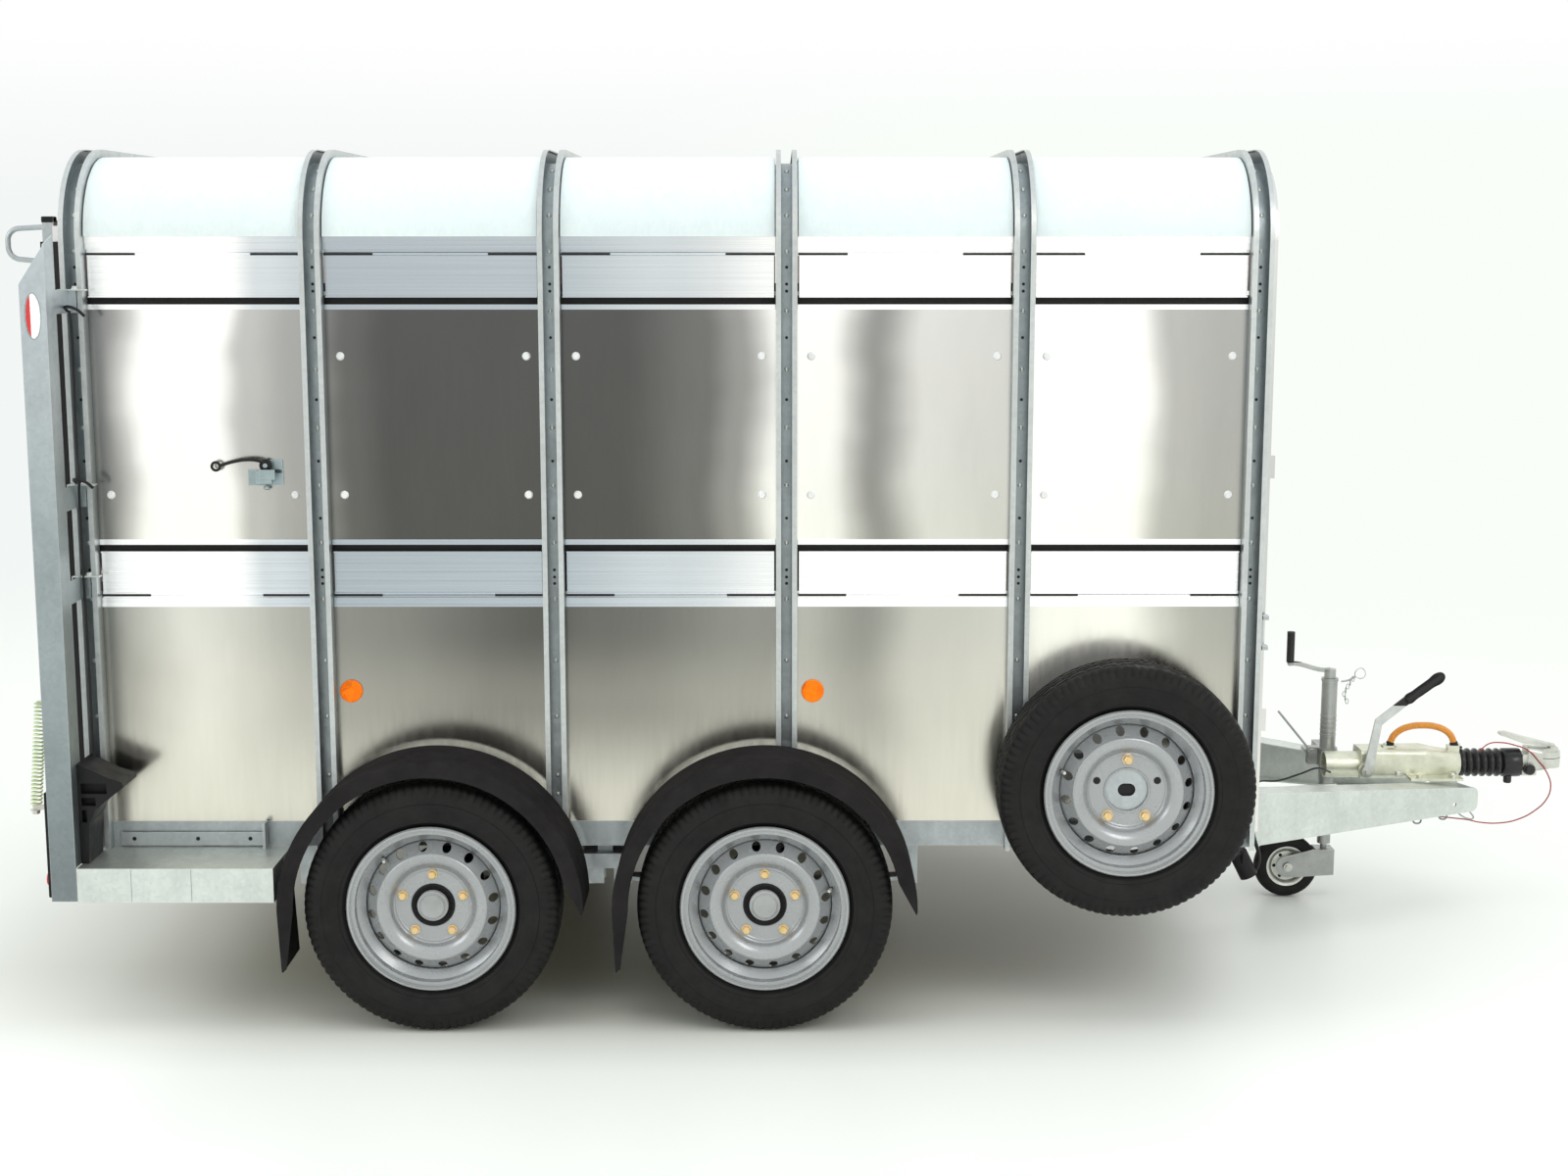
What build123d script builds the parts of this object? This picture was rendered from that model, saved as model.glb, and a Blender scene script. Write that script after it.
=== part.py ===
"""Twin-axle livestock trailer: sheet-sided body on hoops, outboard wheels, ramp, vents, drawbar.

Frame: +X points forward to the hitch, +Y to the left, +Z up. The origin is on the ground, on the
centreline, midway between the two axles. All sizes are in millimetres.
"""
from build123d import *
import os
from math import atan2, cos, hypot, radians, sin

os.makedirs("parts", exist_ok=True)

# ---- Driving dimensions -------------------------------------------------------------------
# running gear
AXLE_X = 433  # axles sit this far ahead of and behind the origin
WHEEL_Y = 1050  # tyre centre plane
TYRE_R = 334.5
TYRE_W = 175
RIM_R = 220.3
BOLT_PCD = 165.1
BOLT_COUNT = 5
SPINDLE_R = 20
RUNNING = 0.05  # radial clearance of turning parts

# body
HOOP_X0 = -1340  # centre of the rear hoop
HOOP_PITCH = 610
HOOP_COUNT = 6
HOOP_W = 55
HOOP_DEPTH = 39
BODY_Y = 950  # outer face of the hoops
PANEL_Y = BODY_Y - HOOP_DEPTH - 1  # outer face of the side panels
PANEL_T = 12
CORNER_R = 235  # roof corner, on the outer face of the hoops
ROOF_START_Z = 2050  # the walls are straight up to here
HOOP_FOOT_Z = 440
FLOOR_Z = 505
RAIL_BOTTOM_Z = 445
RAIL_TOP_Z = 513

# side wall levels, bottom to top
LOWER_PANEL_TOP = 1095
LOWER_HINGE_Z = 1126
LOWER_FLAP_TOP = 1243
UPPER_PANEL_BOTTOM = 1260
UPPER_PANEL_TOP = 1885
UPPER_FLAP_BOTTOM = 1903
UPPER_HINGE_Z = 2018
TOP_RAIL_Z = 2058

# rear end
PILLAR_Y = 1130
PILLAR_X0 = -1412
PILLAR_X1 = -1346
STEP_X1 = -838
STEP_TOP_Z = 445
STEP_LAP_X = -1310
STEP_BOTTOM_Z = 354
RAMP_X = -1372  # face of the ramp that closes on the rear hoop
RAMP_T = 30
RAMP_HINGE_X = -1388
RAMP_HINGE_Z = 478
RAMP_TOP_Z = 2085
RAMP_HALF = 885

# drawbar and coupling
BAR_X0 = 1738  # drawbar rails bolt to the front cross beam here
BAR_X1 = 2610
BAR_Y0 = 502
BAR_Y1 = 100
BAR_Z = 308  # underside of the rails
COUPLING_Z = 452  # axis of the coupling shaft
HEAD_X = 2767
BALL_X = 2846
BALL_Z = 460
JOCKEY_X = 2190
JOCKEY_Y = 85
JOCKEY_WHEEL_X = 2072
JOCKEY_WHEEL_R = 100

# spare wheel
SPARE_X = 1372
SPARE_Y = 1046
SPARE_Z = 640

# front wall
FRONT_X = 1738
FRONT_T = 16
DOOR_HINGE_X = 1768
DOOR_HINGE_Y = -850


# ---- Helpers ------------------------------------------------------------------------------
def block(x0, x1, y0, y1, z0, z1, mode=Mode.ADD):
    """Rectangular block between two corners, added to the sub-part being built."""
    with Locations(((x0 + x1) / 2, (y0 + y1) / 2, (z0 + z1) / 2)):
        Box(abs(x1 - x0), abs(y1 - y0), abs(z1 - z0), mode=mode)


def rod(start, end, radius, mode=Mode.ADD):
    """Round bar from one point to another."""
    axis = Vector(*end) - Vector(*start)
    with BuildSketch(Plane(origin=start, z_dir=axis)) as section:
        Circle(radius)
    extrude(section.sketch, amount=axis.length, mode=mode)


def both_sides():
    """Copy what the sub-part holds so far to the other side of the trailer."""
    mirror(about=Plane.XZ)


def wheel_plane(x, y, z):
    """Plane for a wheel section: local X is the outward axis direction, local Y the radius."""
    outward = 1 if y > 0 else -1
    return Plane(origin=(x, y, z), x_dir=(0, outward, 0), z_dir=(outward, 0, 0))


def bay_centres():
    """X of the middle of each of the bays between the hoops."""
    return [HOOP_X0 + HOOP_PITCH * (i + 0.5) for i in range(HOOP_COUNT - 1)]


def hoop_centres():
    """X of each hoop."""
    return [HOOP_X0 + HOOP_PITCH * i for i in range(HOOP_COUNT)]


def arch_line(inset, bottom_z):
    """Edges of the body arch at an inset from the hoops' outer face, foot to foot."""
    corner_y = BODY_Y - CORNER_R
    radius = CORNER_R - inset
    foot_y = BODY_Y - inset
    crown_z = ROOF_START_Z + radius
    with BuildLine() as arch:
        Line((foot_y, bottom_z), (foot_y, ROOF_START_Z))
        RadiusArc((foot_y, ROOF_START_Z), (corner_y, crown_z), -radius)
        mirror(about=Plane.YZ)
        Line((corner_y, crown_z), (-corner_y, crown_z))
    return arch.line.edges()


def arch_band(outer, inner, bottom_z):
    """Closed band that follows the body arch between two insets."""
    feet = [
        Edge.make_line((side * (BODY_Y - outer), bottom_z), (side * (BODY_Y - inner), bottom_z))
        for side in (1, -1)
    ]
    make_face(arch_line(outer, bottom_z) + arch_line(inner, bottom_z) + feet)


def arch_face(inset, bottom_z):
    """Whole cross-section of the body inside one inset."""
    foot_y = BODY_Y - inset
    make_face(arch_line(inset, bottom_z) + [Edge.make_line((foot_y, bottom_z), (-foot_y, bottom_z))])


def arch_plane(x):
    """Plane across the trailer at x: local X is +Y, local Y is +Z, normal +X."""
    return Plane(origin=(x, 0, 0), x_dir=(0, 1, 0), z_dir=(1, 0, 0))


def write(builder, label):
    """Label a finished sub-part and write it out."""
    builder.part.label = label
    export_step(builder.part, f"parts/{label}.step")


# ---- Chassis ------------------------------------------------------------------------------
CHASSIS_Y = 720
CHASSIS_W = 66
CHASSIS_WALL = 4
CHASSIS_TOP = FLOOR_Z - 18
CHASSIS_BOTTOM = CHASSIS_TOP - 72
SPRING_HALF = 395
SPRING_EYE_Z = 318
SPRING_W = 50

with BuildPart() as chassis_frame:
    for side in (1, -1):
        y = side * CHASSIS_Y
        block(-1370, FRONT_X - 3, y - CHASSIS_W / 2, y + CHASSIS_W / 2, CHASSIS_BOTTOM, CHASSIS_TOP)
        inner = CHASSIS_W / 2 - CHASSIS_WALL
        block(-1372, FRONT_X, y - inner, y + inner,
              CHASSIS_BOTTOM + CHASSIS_WALL, CHASSIS_TOP - CHASSIS_WALL, mode=Mode.SUBTRACT)
        # spring hangers: pairs of cheek plates below the rail
        for axle in (AXLE_X, -AXLE_X):
            for end in (SPRING_HALF, -SPRING_HALF):
                for cheek in (SPRING_W / 2 + 1, -SPRING_W / 2 - 7):
                    x = axle + end
                    block(x - 24, x + 24, y + cheek, y + cheek + 6, SPRING_EYE_Z - 26, CHASSIS_BOTTOM + 1)
    for x in hoop_centres():
        block(x - 20, x + 20, -870, 870, CHASSIS_TOP - 50, CHASSIS_TOP)
    # deep beams at the front and rear
    block(FRONT_X - 48, FRONT_X - 3, -640, 640, BAR_Z + 4, CHASSIS_TOP)
    block(-1372, -1330, -870, 870, CHASSIS_BOTTOM - 20, CHASSIS_TOP)
    # square tube between the wheels, below the side rail
    for side in (1, -1):
        block(-60, 60, side * 745, side * 905, 380, 420)
        block(-20, 20, side * 745, side * 870, 420, CHASSIS_TOP - 49)
    # ramp hinge lugs behind the rear beam
    for y in (-620, 0, 620):
        block(RAMP_HINGE_X - 14, -1371, y - 20, y + 20, RAMP_HINGE_Z - 14, RAMP_HINGE_Z + 8)
    for y in (-620, 0, 620):
        with BuildSketch(Plane(origin=(RAMP_HINGE_X, y - 21, RAMP_HINGE_Z), z_dir=(0, 1, 0))):
            Circle(8 + RUNNING)
        extrude(amount=42, mode=Mode.SUBTRACT)
write(chassis_frame, "chassis_frame")

with BuildPart() as floor_deck:
    block(-1368, FRONT_X - 3, -868, 868, CHASSIS_TOP, FLOOR_Z)
    # raised anti-slip ribs across the floor
    for i in range(24):
        x = -1290 + i * 125
        block(x, x + 12, -840, 840, FLOOR_Z, FLOOR_Z + 4)
write(floor_deck, "floor_deck")

with BuildPart() as side_base_rails:
    block(-1366, FRONT_X - 3, 870, 911, RAIL_BOTTOM_Z, RAIL_TOP_Z)
    block(-1360, FRONT_X - 10, 874, 907, RAIL_BOTTOM_Z, RAIL_TOP_Z - 5, mode=Mode.SUBTRACT)
    both_sides()
write(side_base_rails, "side_base_rails")

# ---- Body hoops, walls and roof -----------------------------------------------------------
HOOP_GAUGE = 3
HOOP_LIP = 13

with BuildPart() as body_hoops:
    for x in hoop_centres():
        left = x - HOOP_W / 2
        with BuildSketch(arch_plane(left)):
            arch_band(HOOP_DEPTH - HOOP_GAUGE, HOOP_DEPTH, HOOP_FOOT_Z)
        extrude(amount=HOOP_W)
        for wall in (left, left + HOOP_W - HOOP_GAUGE):
            with BuildSketch(arch_plane(wall)):
                arch_band(0, HOOP_DEPTH, HOOP_FOOT_Z)
            extrude(amount=HOOP_GAUGE)
        for lip in (left, left + HOOP_W - HOOP_LIP):
            with BuildSketch(arch_plane(lip)):
                arch_band(0, HOOP_GAUGE, HOOP_FOOT_Z)
            extrude(amount=HOOP_LIP)
write(body_hoops, "body_hoops")

BAY_CLEAR = HOOP_PITCH - HOOP_W - 2  # width between neighbouring hoop walls

with BuildPart() as lower_side_panels:
    for x in bay_centres():
        width = HOOP_PITCH - 1
        block(x - width / 2, x + width / 2, PANEL_Y - PANEL_T, PANEL_Y, RAIL_TOP_Z, LOWER_PANEL_TOP)
    both_sides()
write(lower_side_panels, "lower_side_panels")

with BuildPart() as upper_side_panels:
    for x in bay_centres():
        width = HOOP_PITCH - 1
        block(x - width / 2, x + width / 2, PANEL_Y - PANEL_T, PANEL_Y, UPPER_PANEL_BOTTOM + 14,
              UPPER_PANEL_TOP - 13)
    both_sides()
write(upper_side_panels, "upper_side_panels")

with BuildPart() as vent_rails:
    for x in bay_centres():
        x0 = x - BAY_CLEAR / 2
        x1 = x + BAY_CLEAR / 2
        # sill under the lower vent
        block(x0, x1, PANEL_Y - PANEL_T, PANEL_Y + 5, LOWER_PANEL_TOP, LOWER_HINGE_Z - 7)
        block(x0, x1, PANEL_Y + 5, PANEL_Y + 8, LOWER_PANEL_TOP + 2, LOWER_PANEL_TOP + 7)
        block(x0, x1, PANEL_Y - PANEL_T, PANEL_Y - 4, LOWER_HINGE_Z - 7, LOWER_HINGE_Z + 9)
        # trims along the edges of the upper panel
        block(x0, x1, PANEL_Y - PANEL_T, PANEL_Y + 4, UPPER_PANEL_BOTTOM, UPPER_PANEL_BOTTOM + 14)
        block(x0, x1, PANEL_Y - PANEL_T, PANEL_Y + 4, UPPER_PANEL_TOP - 13, UPPER_PANEL_TOP)
        # head rail above the upper vent
        block(x0, x1, PANEL_Y - PANEL_T, PANEL_Y - 4, UPPER_HINGE_Z - 9, UPPER_HINGE_Z + 7)
        block(x0, x1, PANEL_Y - PANEL_T, PANEL_Y + 5, UPPER_HINGE_Z + 7, TOP_RAIL_Z - 12)
        block(x0, x1, PANEL_Y - 4, PANEL_Y + 9, TOP_RAIL_Z - 16, TOP_RAIL_Z)
    both_sides()
write(vent_rails, "vent_rails")


def vent_flap(x, side, hinge_z, free_z):
    """One louvre flap: a ribbed sheet that hangs from, or stands on, its rolled hinge edge."""
    up = 1 if free_z > hinge_z else -1
    x0 = x - BAY_CLEAR / 2 + 4
    x1 = x + BAY_CLEAR / 2 - 4
    y = side * (PANEL_Y + 2)
    rod((x0, y, hinge_z), (x1, y, hinge_z), 4.5)
    block(x0, x1, y - side * 1.5, y + side * 1.5, hinge_z, free_z)
    block(x0, x1, y - side * 1.5, y + side * 9, free_z - up * 3, free_z)
    for rib in (0.3, 0.5, 0.7):
        z = hinge_z + rib * (free_z - hinge_z)
        block(x0, x1, y, y + side * 3.5, z - 1.5, z + 1.5)


def flap_row(side, hinge_z, free_z):
    """The five flaps of one vent row."""
    with BuildPart() as row:
        for x in bay_centres():
            vent_flap(x, side, hinge_z, free_z)
    return row


write(flap_row(-1, UPPER_HINGE_Z - 4, UPPER_FLAP_BOTTOM), "upper_vent_flaps_right")
write(flap_row(1, UPPER_HINGE_Z - 4, UPPER_FLAP_BOTTOM), "upper_vent_flaps_left")
write(flap_row(-1, LOWER_HINGE_Z + 4, LOWER_FLAP_TOP), "lower_vent_flaps_right")
write(flap_row(1, LOWER_HINGE_Z + 4, LOWER_FLAP_TOP), "lower_vent_flaps_left")

ROOF_T = 3
PAN_INSET = 20  # roof pans stand this far inside the hoops' outer face
PAN_W = BAY_CLEAR - 4

with BuildPart() as roof_skin:
    with BuildSketch(arch_plane(HOOP_X0 - 24)):
        arch_band(HOOP_DEPTH, HOOP_DEPTH + ROOF_T, ROOF_START_Z - 5)
    extrude(amount=HOOP_PITCH * (HOOP_COUNT - 1) + 48)
    # the sheet is pressed up into a pan between each pair of hoops
    for x in bay_centres():
        with BuildSketch(arch_plane(x - PAN_W / 2)):
            arch_band(PAN_INSET, HOOP_DEPTH + ROOF_T - 1, ROOF_START_Z - 5)
        extrude(amount=PAN_W)
        with BuildSketch(arch_plane(x - PAN_W / 2 + ROOF_T)):
            arch_band(PAN_INSET + ROOF_T, HOOP_DEPTH + 2 * ROOF_T, ROOF_START_Z - 6)
        extrude(amount=PAN_W - 2 * ROOF_T, mode=Mode.SUBTRACT)
    # the skin stops on the head rails, where each pan has a sill
    for side in (1, -1):
        y0, y1 = sorted((side * (PANEL_Y - PANEL_T), side * BODY_Y))
        block(-1400, 1800, y0, y1, 2000, TOP_RAIL_Z, mode=Mode.SUBTRACT)
        y0, y1 = sorted((side * (PANEL_Y - 1), side * (BODY_Y - PAN_INSET - 2)))
        for x in bay_centres():
            block(x - PAN_W / 2 + 1, x + PAN_W / 2 - 1, y0, y1, TOP_RAIL_Z, TOP_RAIL_Z + ROOF_T)
write(roof_skin, "roof_skin")

# ---- Front wall and inspection door -------------------------------------------------------
DOOR_Y0 = -835
DOOR_Y1 = -330
DOOR_Z0 = 600
DOOR_Z1 = 1640
FRONT_VENT_Z = (1780, 1880)
FRONT_SILL_Z = 482

with BuildPart() as front_wall:
    with BuildSketch(arch_plane(FRONT_X)):
        arch_face(HOOP_DEPTH, FRONT_SILL_Z)
    extrude(amount=FRONT_T)
    block(FRONT_X - 1, FRONT_X + 40, DOOR_Y0, DOOR_Y1, DOOR_Z0, DOOR_Z1, mode=Mode.SUBTRACT)
    # vent slots across the top of the wall
    for z in FRONT_VENT_Z:
        block(FRONT_X - 1, FRONT_X + 40, -760, 760, z, z + 34, mode=Mode.SUBTRACT)
    # hinge knuckles for the door
    for z in (780, 1460):
        block(FRONT_X + FRONT_T, DOOR_HINGE_X + 6, DOOR_HINGE_Y - 24, DOOR_HINGE_Y - 14, z - 30, z + 30)
        block(DOOR_HINGE_X - 8, DOOR_HINGE_X + 8, DOOR_HINGE_Y - 15, DOOR_HINGE_Y + 8, z - 30, z - 14)
        rod((DOOR_HINGE_X, DOOR_HINGE_Y, z - 30), (DOOR_HINGE_X, DOOR_HINGE_Y, z + 16), 5)
write(front_wall, "front_wall")

with BuildPart() as front_door:
    block(FRONT_X + 1, FRONT_X + FRONT_T - 1, DOOR_Y0 + 3, DOOR_Y1 - 3, DOOR_Z0 + 3, DOOR_Z1 - 3)
    # pressed stiffening ribs
    for z in (820, 1120, 1420):
        block(FRONT_X + FRONT_T - 1, FRONT_X + FRONT_T + 4, DOOR_Y0 + 40, DOOR_Y1 - 60, z - 12, z + 12)
    for z in (780, 1460):
        block(FRONT_X + FRONT_T - 1, DOOR_HINGE_X - 8, DOOR_HINGE_Y + 16, DOOR_HINGE_Y + 70, z - 13, z + 13)
        block(DOOR_HINGE_X - 9, DOOR_HINGE_X + 9, DOOR_HINGE_Y - 9, DOOR_HINGE_Y + 20, z - 13, z + 13)
        rod((DOOR_HINGE_X, DOOR_HINGE_Y, z - 14), (DOOR_HINGE_X, DOOR_HINGE_Y, z + 14), 5 + RUNNING,
            mode=Mode.SUBTRACT)
    # turn handle near the free edge
    block(FRONT_X + FRONT_T - 1, FRONT_X + FRONT_T + 16, DOOR_Y1 - 48, DOOR_Y1 - 20, 1100, 1140)
    block(FRONT_X + FRONT_T + 10, FRONT_X + FRONT_T + 20, DOOR_Y1 - 130, DOOR_Y1 - 20, 1112, 1128)
write(front_door, "front_door")

# ---- Rear end: pillars, steps, lamps ------------------------------------------------------
SHEET = 3
PILLAR_TOP_REAR = 1940
PILLAR_TOP_FRONT = 2038
PILLAR_RETURN = 75

with BuildPart() as rear_pillars:
    # folded corner post: side face with a narrow rear and a deep front return
    with BuildSketch(Plane(origin=(0, PILLAR_Y, 0), x_dir=(1, 0, 0), z_dir=(0, -1, 0))):
        with BuildLine():
            Polyline((PILLAR_X0, STEP_BOTTOM_Z + 3), (PILLAR_X1, STEP_BOTTOM_Z + 3),
                     (PILLAR_X1, PILLAR_TOP_FRONT), (PILLAR_X0, PILLAR_TOP_REAR), close=True)
        make_face()
    extrude(amount=SHEET)
    block(PILLAR_X0, PILLAR_X0 + SHEET, PILLAR_Y - 30, PILLAR_Y, STEP_BOTTOM_Z + 3, PILLAR_TOP_REAR)
    with BuildSketch(arch_plane(PILLAR_X1 - SHEET)):
        with BuildLine():
            Polyline((PILLAR_Y - PILLAR_RETURN, STEP_TOP_Z + 1), (PILLAR_Y, STEP_TOP_Z + 1),
                     (PILLAR_Y, PILLAR_TOP_FRONT), (PILLAR_Y - PILLAR_RETURN, PILLAR_TOP_FRONT + 24), close=True)
        make_face()
    extrude(amount=SHEET)
    # angle brackets that bolt the post to the rear hoop
    for z in (620, 1155, 1395, 1895):
        block(PILLAR_X1 - SHEET, PILLAR_X1, BODY_Y + 0.5, PILLAR_Y - PILLAR_RETURN + 5, z - 30, z + 30)
        block(PILLAR_X1 - SHEET, HOOP_X0 - HOOP_W / 2 + 40, BODY_Y + 0.5, BODY_Y + 3.5, z - 30, z + 30)
    # window for the side marker lamp
    with BuildSketch(Plane(origin=(-1380, PILLAR_Y + 1, 1862), x_dir=(1, 0, 0), z_dir=(0, -1, 0))):
        Ellipse(19, 56)
    extrude(amount=SHEET + 2, mode=Mode.SUBTRACT)
    both_sides()
write(rear_pillars, "rear_pillars")

with BuildPart() as rear_steps:
    block(PILLAR_X1 + 1, STEP_X1, BODY_Y + 2, PILLAR_Y, STEP_TOP_Z - SHEET, STEP_TOP_Z)
    # inner margin of the tread, lapping over the top of the base rail's foot
    block(STEP_LAP_X, STEP_X1, BODY_Y - HOOP_DEPTH + 1, BODY_Y + 2, STEP_TOP_Z - SHEET, STEP_TOP_Z)
    block(PILLAR_X1 + 1, STEP_X1, PILLAR_Y - SHEET, PILLAR_Y, STEP_BOTTOM_Z, STEP_TOP_Z)
    block(PILLAR_X1 + 1, STEP_X1, PILLAR_Y - 22, PILLAR_Y, STEP_BOTTOM_Z, STEP_BOTTOM_Z + SHEET)
    block(STEP_X1 - SHEET, STEP_X1, BODY_Y + 2, PILLAR_Y, STEP_BOTTOM_Z, STEP_TOP_Z)
    # brackets back to the chassis below the side rail
    for x in (PILLAR_X1 + 30, -1080, STEP_X1 - 20):
        block(x - 3, x + 3, CHASSIS_Y + CHASSIS_W / 2, BODY_Y + 8, STEP_BOTTOM_Z + 30, CHASSIS_BOTTOM + 20)
        block(x - 3, x + 3, BODY_Y + 2, BODY_Y + 8, STEP_BOTTOM_Z + 30, STEP_TOP_Z - 1)
    both_sides()
write(rear_steps, "rear_steps")

LAMP_RECESS_Y = PILLAR_Y - 34
LAMP_DEPTH = 7

with BuildPart() as rear_lamps:
    # oval side markers behind the window in each post
    with BuildSketch(Plane(origin=(-1380, PILLAR_Y - 1, 1862), x_dir=(1, 0, 0), z_dir=(0, -1, 0))):
        Ellipse(18, 55)
    extrude(amount=20)
    # flat lamp clusters low on the back of each post
    block(PILLAR_X0 - LAMP_DEPTH, PILLAR_X0 - 0.5, LAMP_RECESS_Y - 96, LAMP_RECESS_Y + 28, 372, 640)
    fillet(rear_lamps.edges().filter_by(Axis.X).filter_by(lambda e: e.center().Z < 700), 12)
    # round reflector on the foot of the cluster
    rod((PILLAR_X0 - LAMP_DEPTH - 7, LAMP_RECESS_Y + 8, 412), (PILLAR_X0 - 3, LAMP_RECESS_Y + 8, 412), 17)
    both_sides()
write(rear_lamps, "rear_lamps")

CHOCK_X = PILLAR_X1 + 1

with BuildPart() as wheel_chocks:
    # wedge stowed on end on the step, with cored ribs
    with BuildSketch(Plane(origin=(0, 1085, 0), x_dir=(1, 0, 0), z_dir=(0, -1, 0))):
        with BuildLine():
            Polyline((CHOCK_X, STEP_TOP_Z + 1), (CHOCK_X + 20, STEP_TOP_Z + 1), (CHOCK_X + 25, 554),
                     (CHOCK_X + 43, 590), (CHOCK_X + 90, 628), (CHOCK_X + 118, 650), (CHOCK_X + 114, 663),
                     (CHOCK_X + 78, 674), (CHOCK_X, 712), close=True)
        make_face()
    extrude(amount=118)
    for z0, z1, reach in ((600, 622, 44), (632, 660, 74), (556, 590, 20)):
        for face_y in (1086, 968):
            block(CHOCK_X + 7, CHOCK_X + reach, face_y - 24, face_y + 24, z0, z1, mode=Mode.SUBTRACT)
    both_sides()
write(wheel_chocks, "wheel_chocks")

# ---- Ramp ---------------------------------------------------------------------------------
RAMP_BACK = RAMP_X - RAMP_T
TUBE = 28
TUBE_DEPTH = 30
TUBE_Y = 860
TUBE_TOP_Z = 2107
BATTENS = 6

with BuildPart() as ramp_panel:
    block(RAMP_BACK, RAMP_X, -RAMP_HALF, RAMP_HALF, RAMP_HINGE_Z + 26, RAMP_TOP_Z)
write(ramp_panel, "ramp_panel")

with BuildPart() as ramp_frame:
    # upright tubes on the back of the ramp
    block(RAMP_BACK - TUBE_DEPTH, RAMP_BACK, TUBE_Y - TUBE / 2, TUBE_Y + TUBE / 2,
          RAMP_HINGE_Z + 20, TUBE_TOP_Z)
    both_sides()
    # cross tubes, top and bottom
    for z in (RAMP_HINGE_Z + 70, 1300, RAMP_TOP_Z - 60):
        block(RAMP_BACK - 25, RAMP_BACK, TUBE / 2 - TUBE_Y, TUBE_Y - TUBE / 2, z, z + 40)
    # hinge leaf and knuckles at the foot
    block(RAMP_BACK, RAMP_X, -RAMP_HALF, RAMP_HALF, RAMP_HINGE_Z + 20, RAMP_HINGE_Z + 26)
    for y in (-655, -585, -35, 35, 585, 655):
        block(RAMP_HINGE_X - 9, RAMP_HINGE_X + 9, y - 12, y + 12, RAMP_HINGE_Z - 9, RAMP_HINGE_Z + 21)
    for y in (-620, 0, 620):
        rod((RAMP_HINGE_X, y - 46, RAMP_HINGE_Z), (RAMP_HINGE_X, y + 46, RAMP_HINGE_Z), 8)
write(ramp_frame, "ramp_frame")

with BuildPart() as ramp_battens:
    # foot battens on the walking face, which points forward while the ramp is shut
    for i in range(BATTENS):
        z = RAMP_HINGE_Z + 190 + i * 235
        block(RAMP_X, RAMP_X + 16, -830, 830, z, z + 28)
    chamfer(ramp_battens.edges().filter_by(Axis.Y).group_by(Axis.X)[-1], 5)
write(ramp_battens, "ramp_battens")

HANDLE_R = 7
HANDLE_X = -1572
HANDLE_Y = 730

with BuildPart() as ramp_handles:
    plate_back = RAMP_BACK - TUBE_DEPTH
    with BuildLine() as handle_path:
        FilletPolyline((plate_back, HANDLE_Y, 2086), (HANDLE_X, HANDLE_Y, 2078),
                       (HANDLE_X, HANDLE_Y, 2002), (plate_back, HANDLE_Y, 1988), radius=32)
    with BuildSketch(Plane(origin=handle_path.line @ 0, z_dir=handle_path.line % 0)):
        Circle(HANDLE_R)
    sweep(path=handle_path.line)
    # mounting plate that bolts the loop to the tube
    block(plate_back, plate_back + 4, HANDLE_Y - 20, TUBE_Y - TUBE / 2, 1965, 2100)
    both_sides()
write(ramp_handles, "ramp_handles")

COIL_R = 17
WIRE_R = 3.2
SPRING_FOOT = (-1502, 950, 568)
SPRING_HEAD = (-1477, 950, 850)

with BuildPart() as ramp_assist_springs:
    # closely wound lift springs, drawn as their outer sleeve on a rod
    rod(SPRING_FOOT, SPRING_HEAD, COIL_R)
    rod(SPRING_FOOT, SPRING_HEAD, COIL_R - 2 * WIRE_R, mode=Mode.SUBTRACT)
    for x, y, z in (SPRING_FOOT, SPRING_HEAD):
        block(x - 8, x + 8, y - COIL_R + 3, y + COIL_R - 3, z - 10, z + 5)
        # arm back to the outer face of the ramp's upright tube
        block(x - 8, RAMP_BACK - 16, y - 7, y + 7, z - 12, z)
        block(RAMP_BACK - 36, RAMP_BACK - 16, TUBE_Y + TUBE / 2, y + 7, z - 12, z)
    both_sides()
write(ramp_assist_springs, "ramp_assist_springs")

# ---- Mudguards ----------------------------------------------------------------------------
GUARD_R = 396
GUARD_LIP = 42
LIP_RUNOUT = radians(12)  # the lip tapers away below this angle at the front
GUARD_T = 4
GUARD_Y0 = 953
GUARD_Y1 = 1145
SKIRT_Z = 170

with BuildPart() as mudguards:
    for axle in (AXLE_X, -AXLE_X):
        arch = (GUARD_T, GUARD_Y0, GUARD_Y1)
        outer_lip = (GUARD_LIP, GUARD_Y1 - GUARD_T, GUARD_Y1)
        for depth, y0, y1 in (arch, outer_lip):
            r_in = GUARD_R - depth
            foot = -GUARD_R + 8
            with BuildSketch(Plane(origin=(axle, y1, 0), x_dir=(1, 0, 0), z_dir=(0, -1, 0))):
                with BuildLine():
                    Line((GUARD_R - 3, TYRE_R - 12), (GUARD_R, TYRE_R))
                    ThreePointArc((GUARD_R, TYRE_R), (0, TYRE_R + GUARD_R), (-GUARD_R, TYRE_R))
                    Line((-GUARD_R, TYRE_R), (foot, SKIRT_Z))
                    Line((foot, SKIRT_Z), (foot + GUARD_T + depth / 5, SKIRT_Z + depth / 5))
                    Line((foot + GUARD_T + depth / 5, SKIRT_Z + depth / 5), (-r_in, TYRE_R))
                    runout = (r_in * cos(LIP_RUNOUT), TYRE_R + r_in * sin(LIP_RUNOUT))
                    ThreePointArc((-r_in, TYRE_R), (0, TYRE_R + r_in), runout)
                    Line(runout, (GUARD_R - 3, TYRE_R - 12))
                make_face()
            extrude(amount=y1 - y0)
    both_sides()
write(mudguards, "mudguards")

REFLECTOR_X = (-664, 559)

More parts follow.
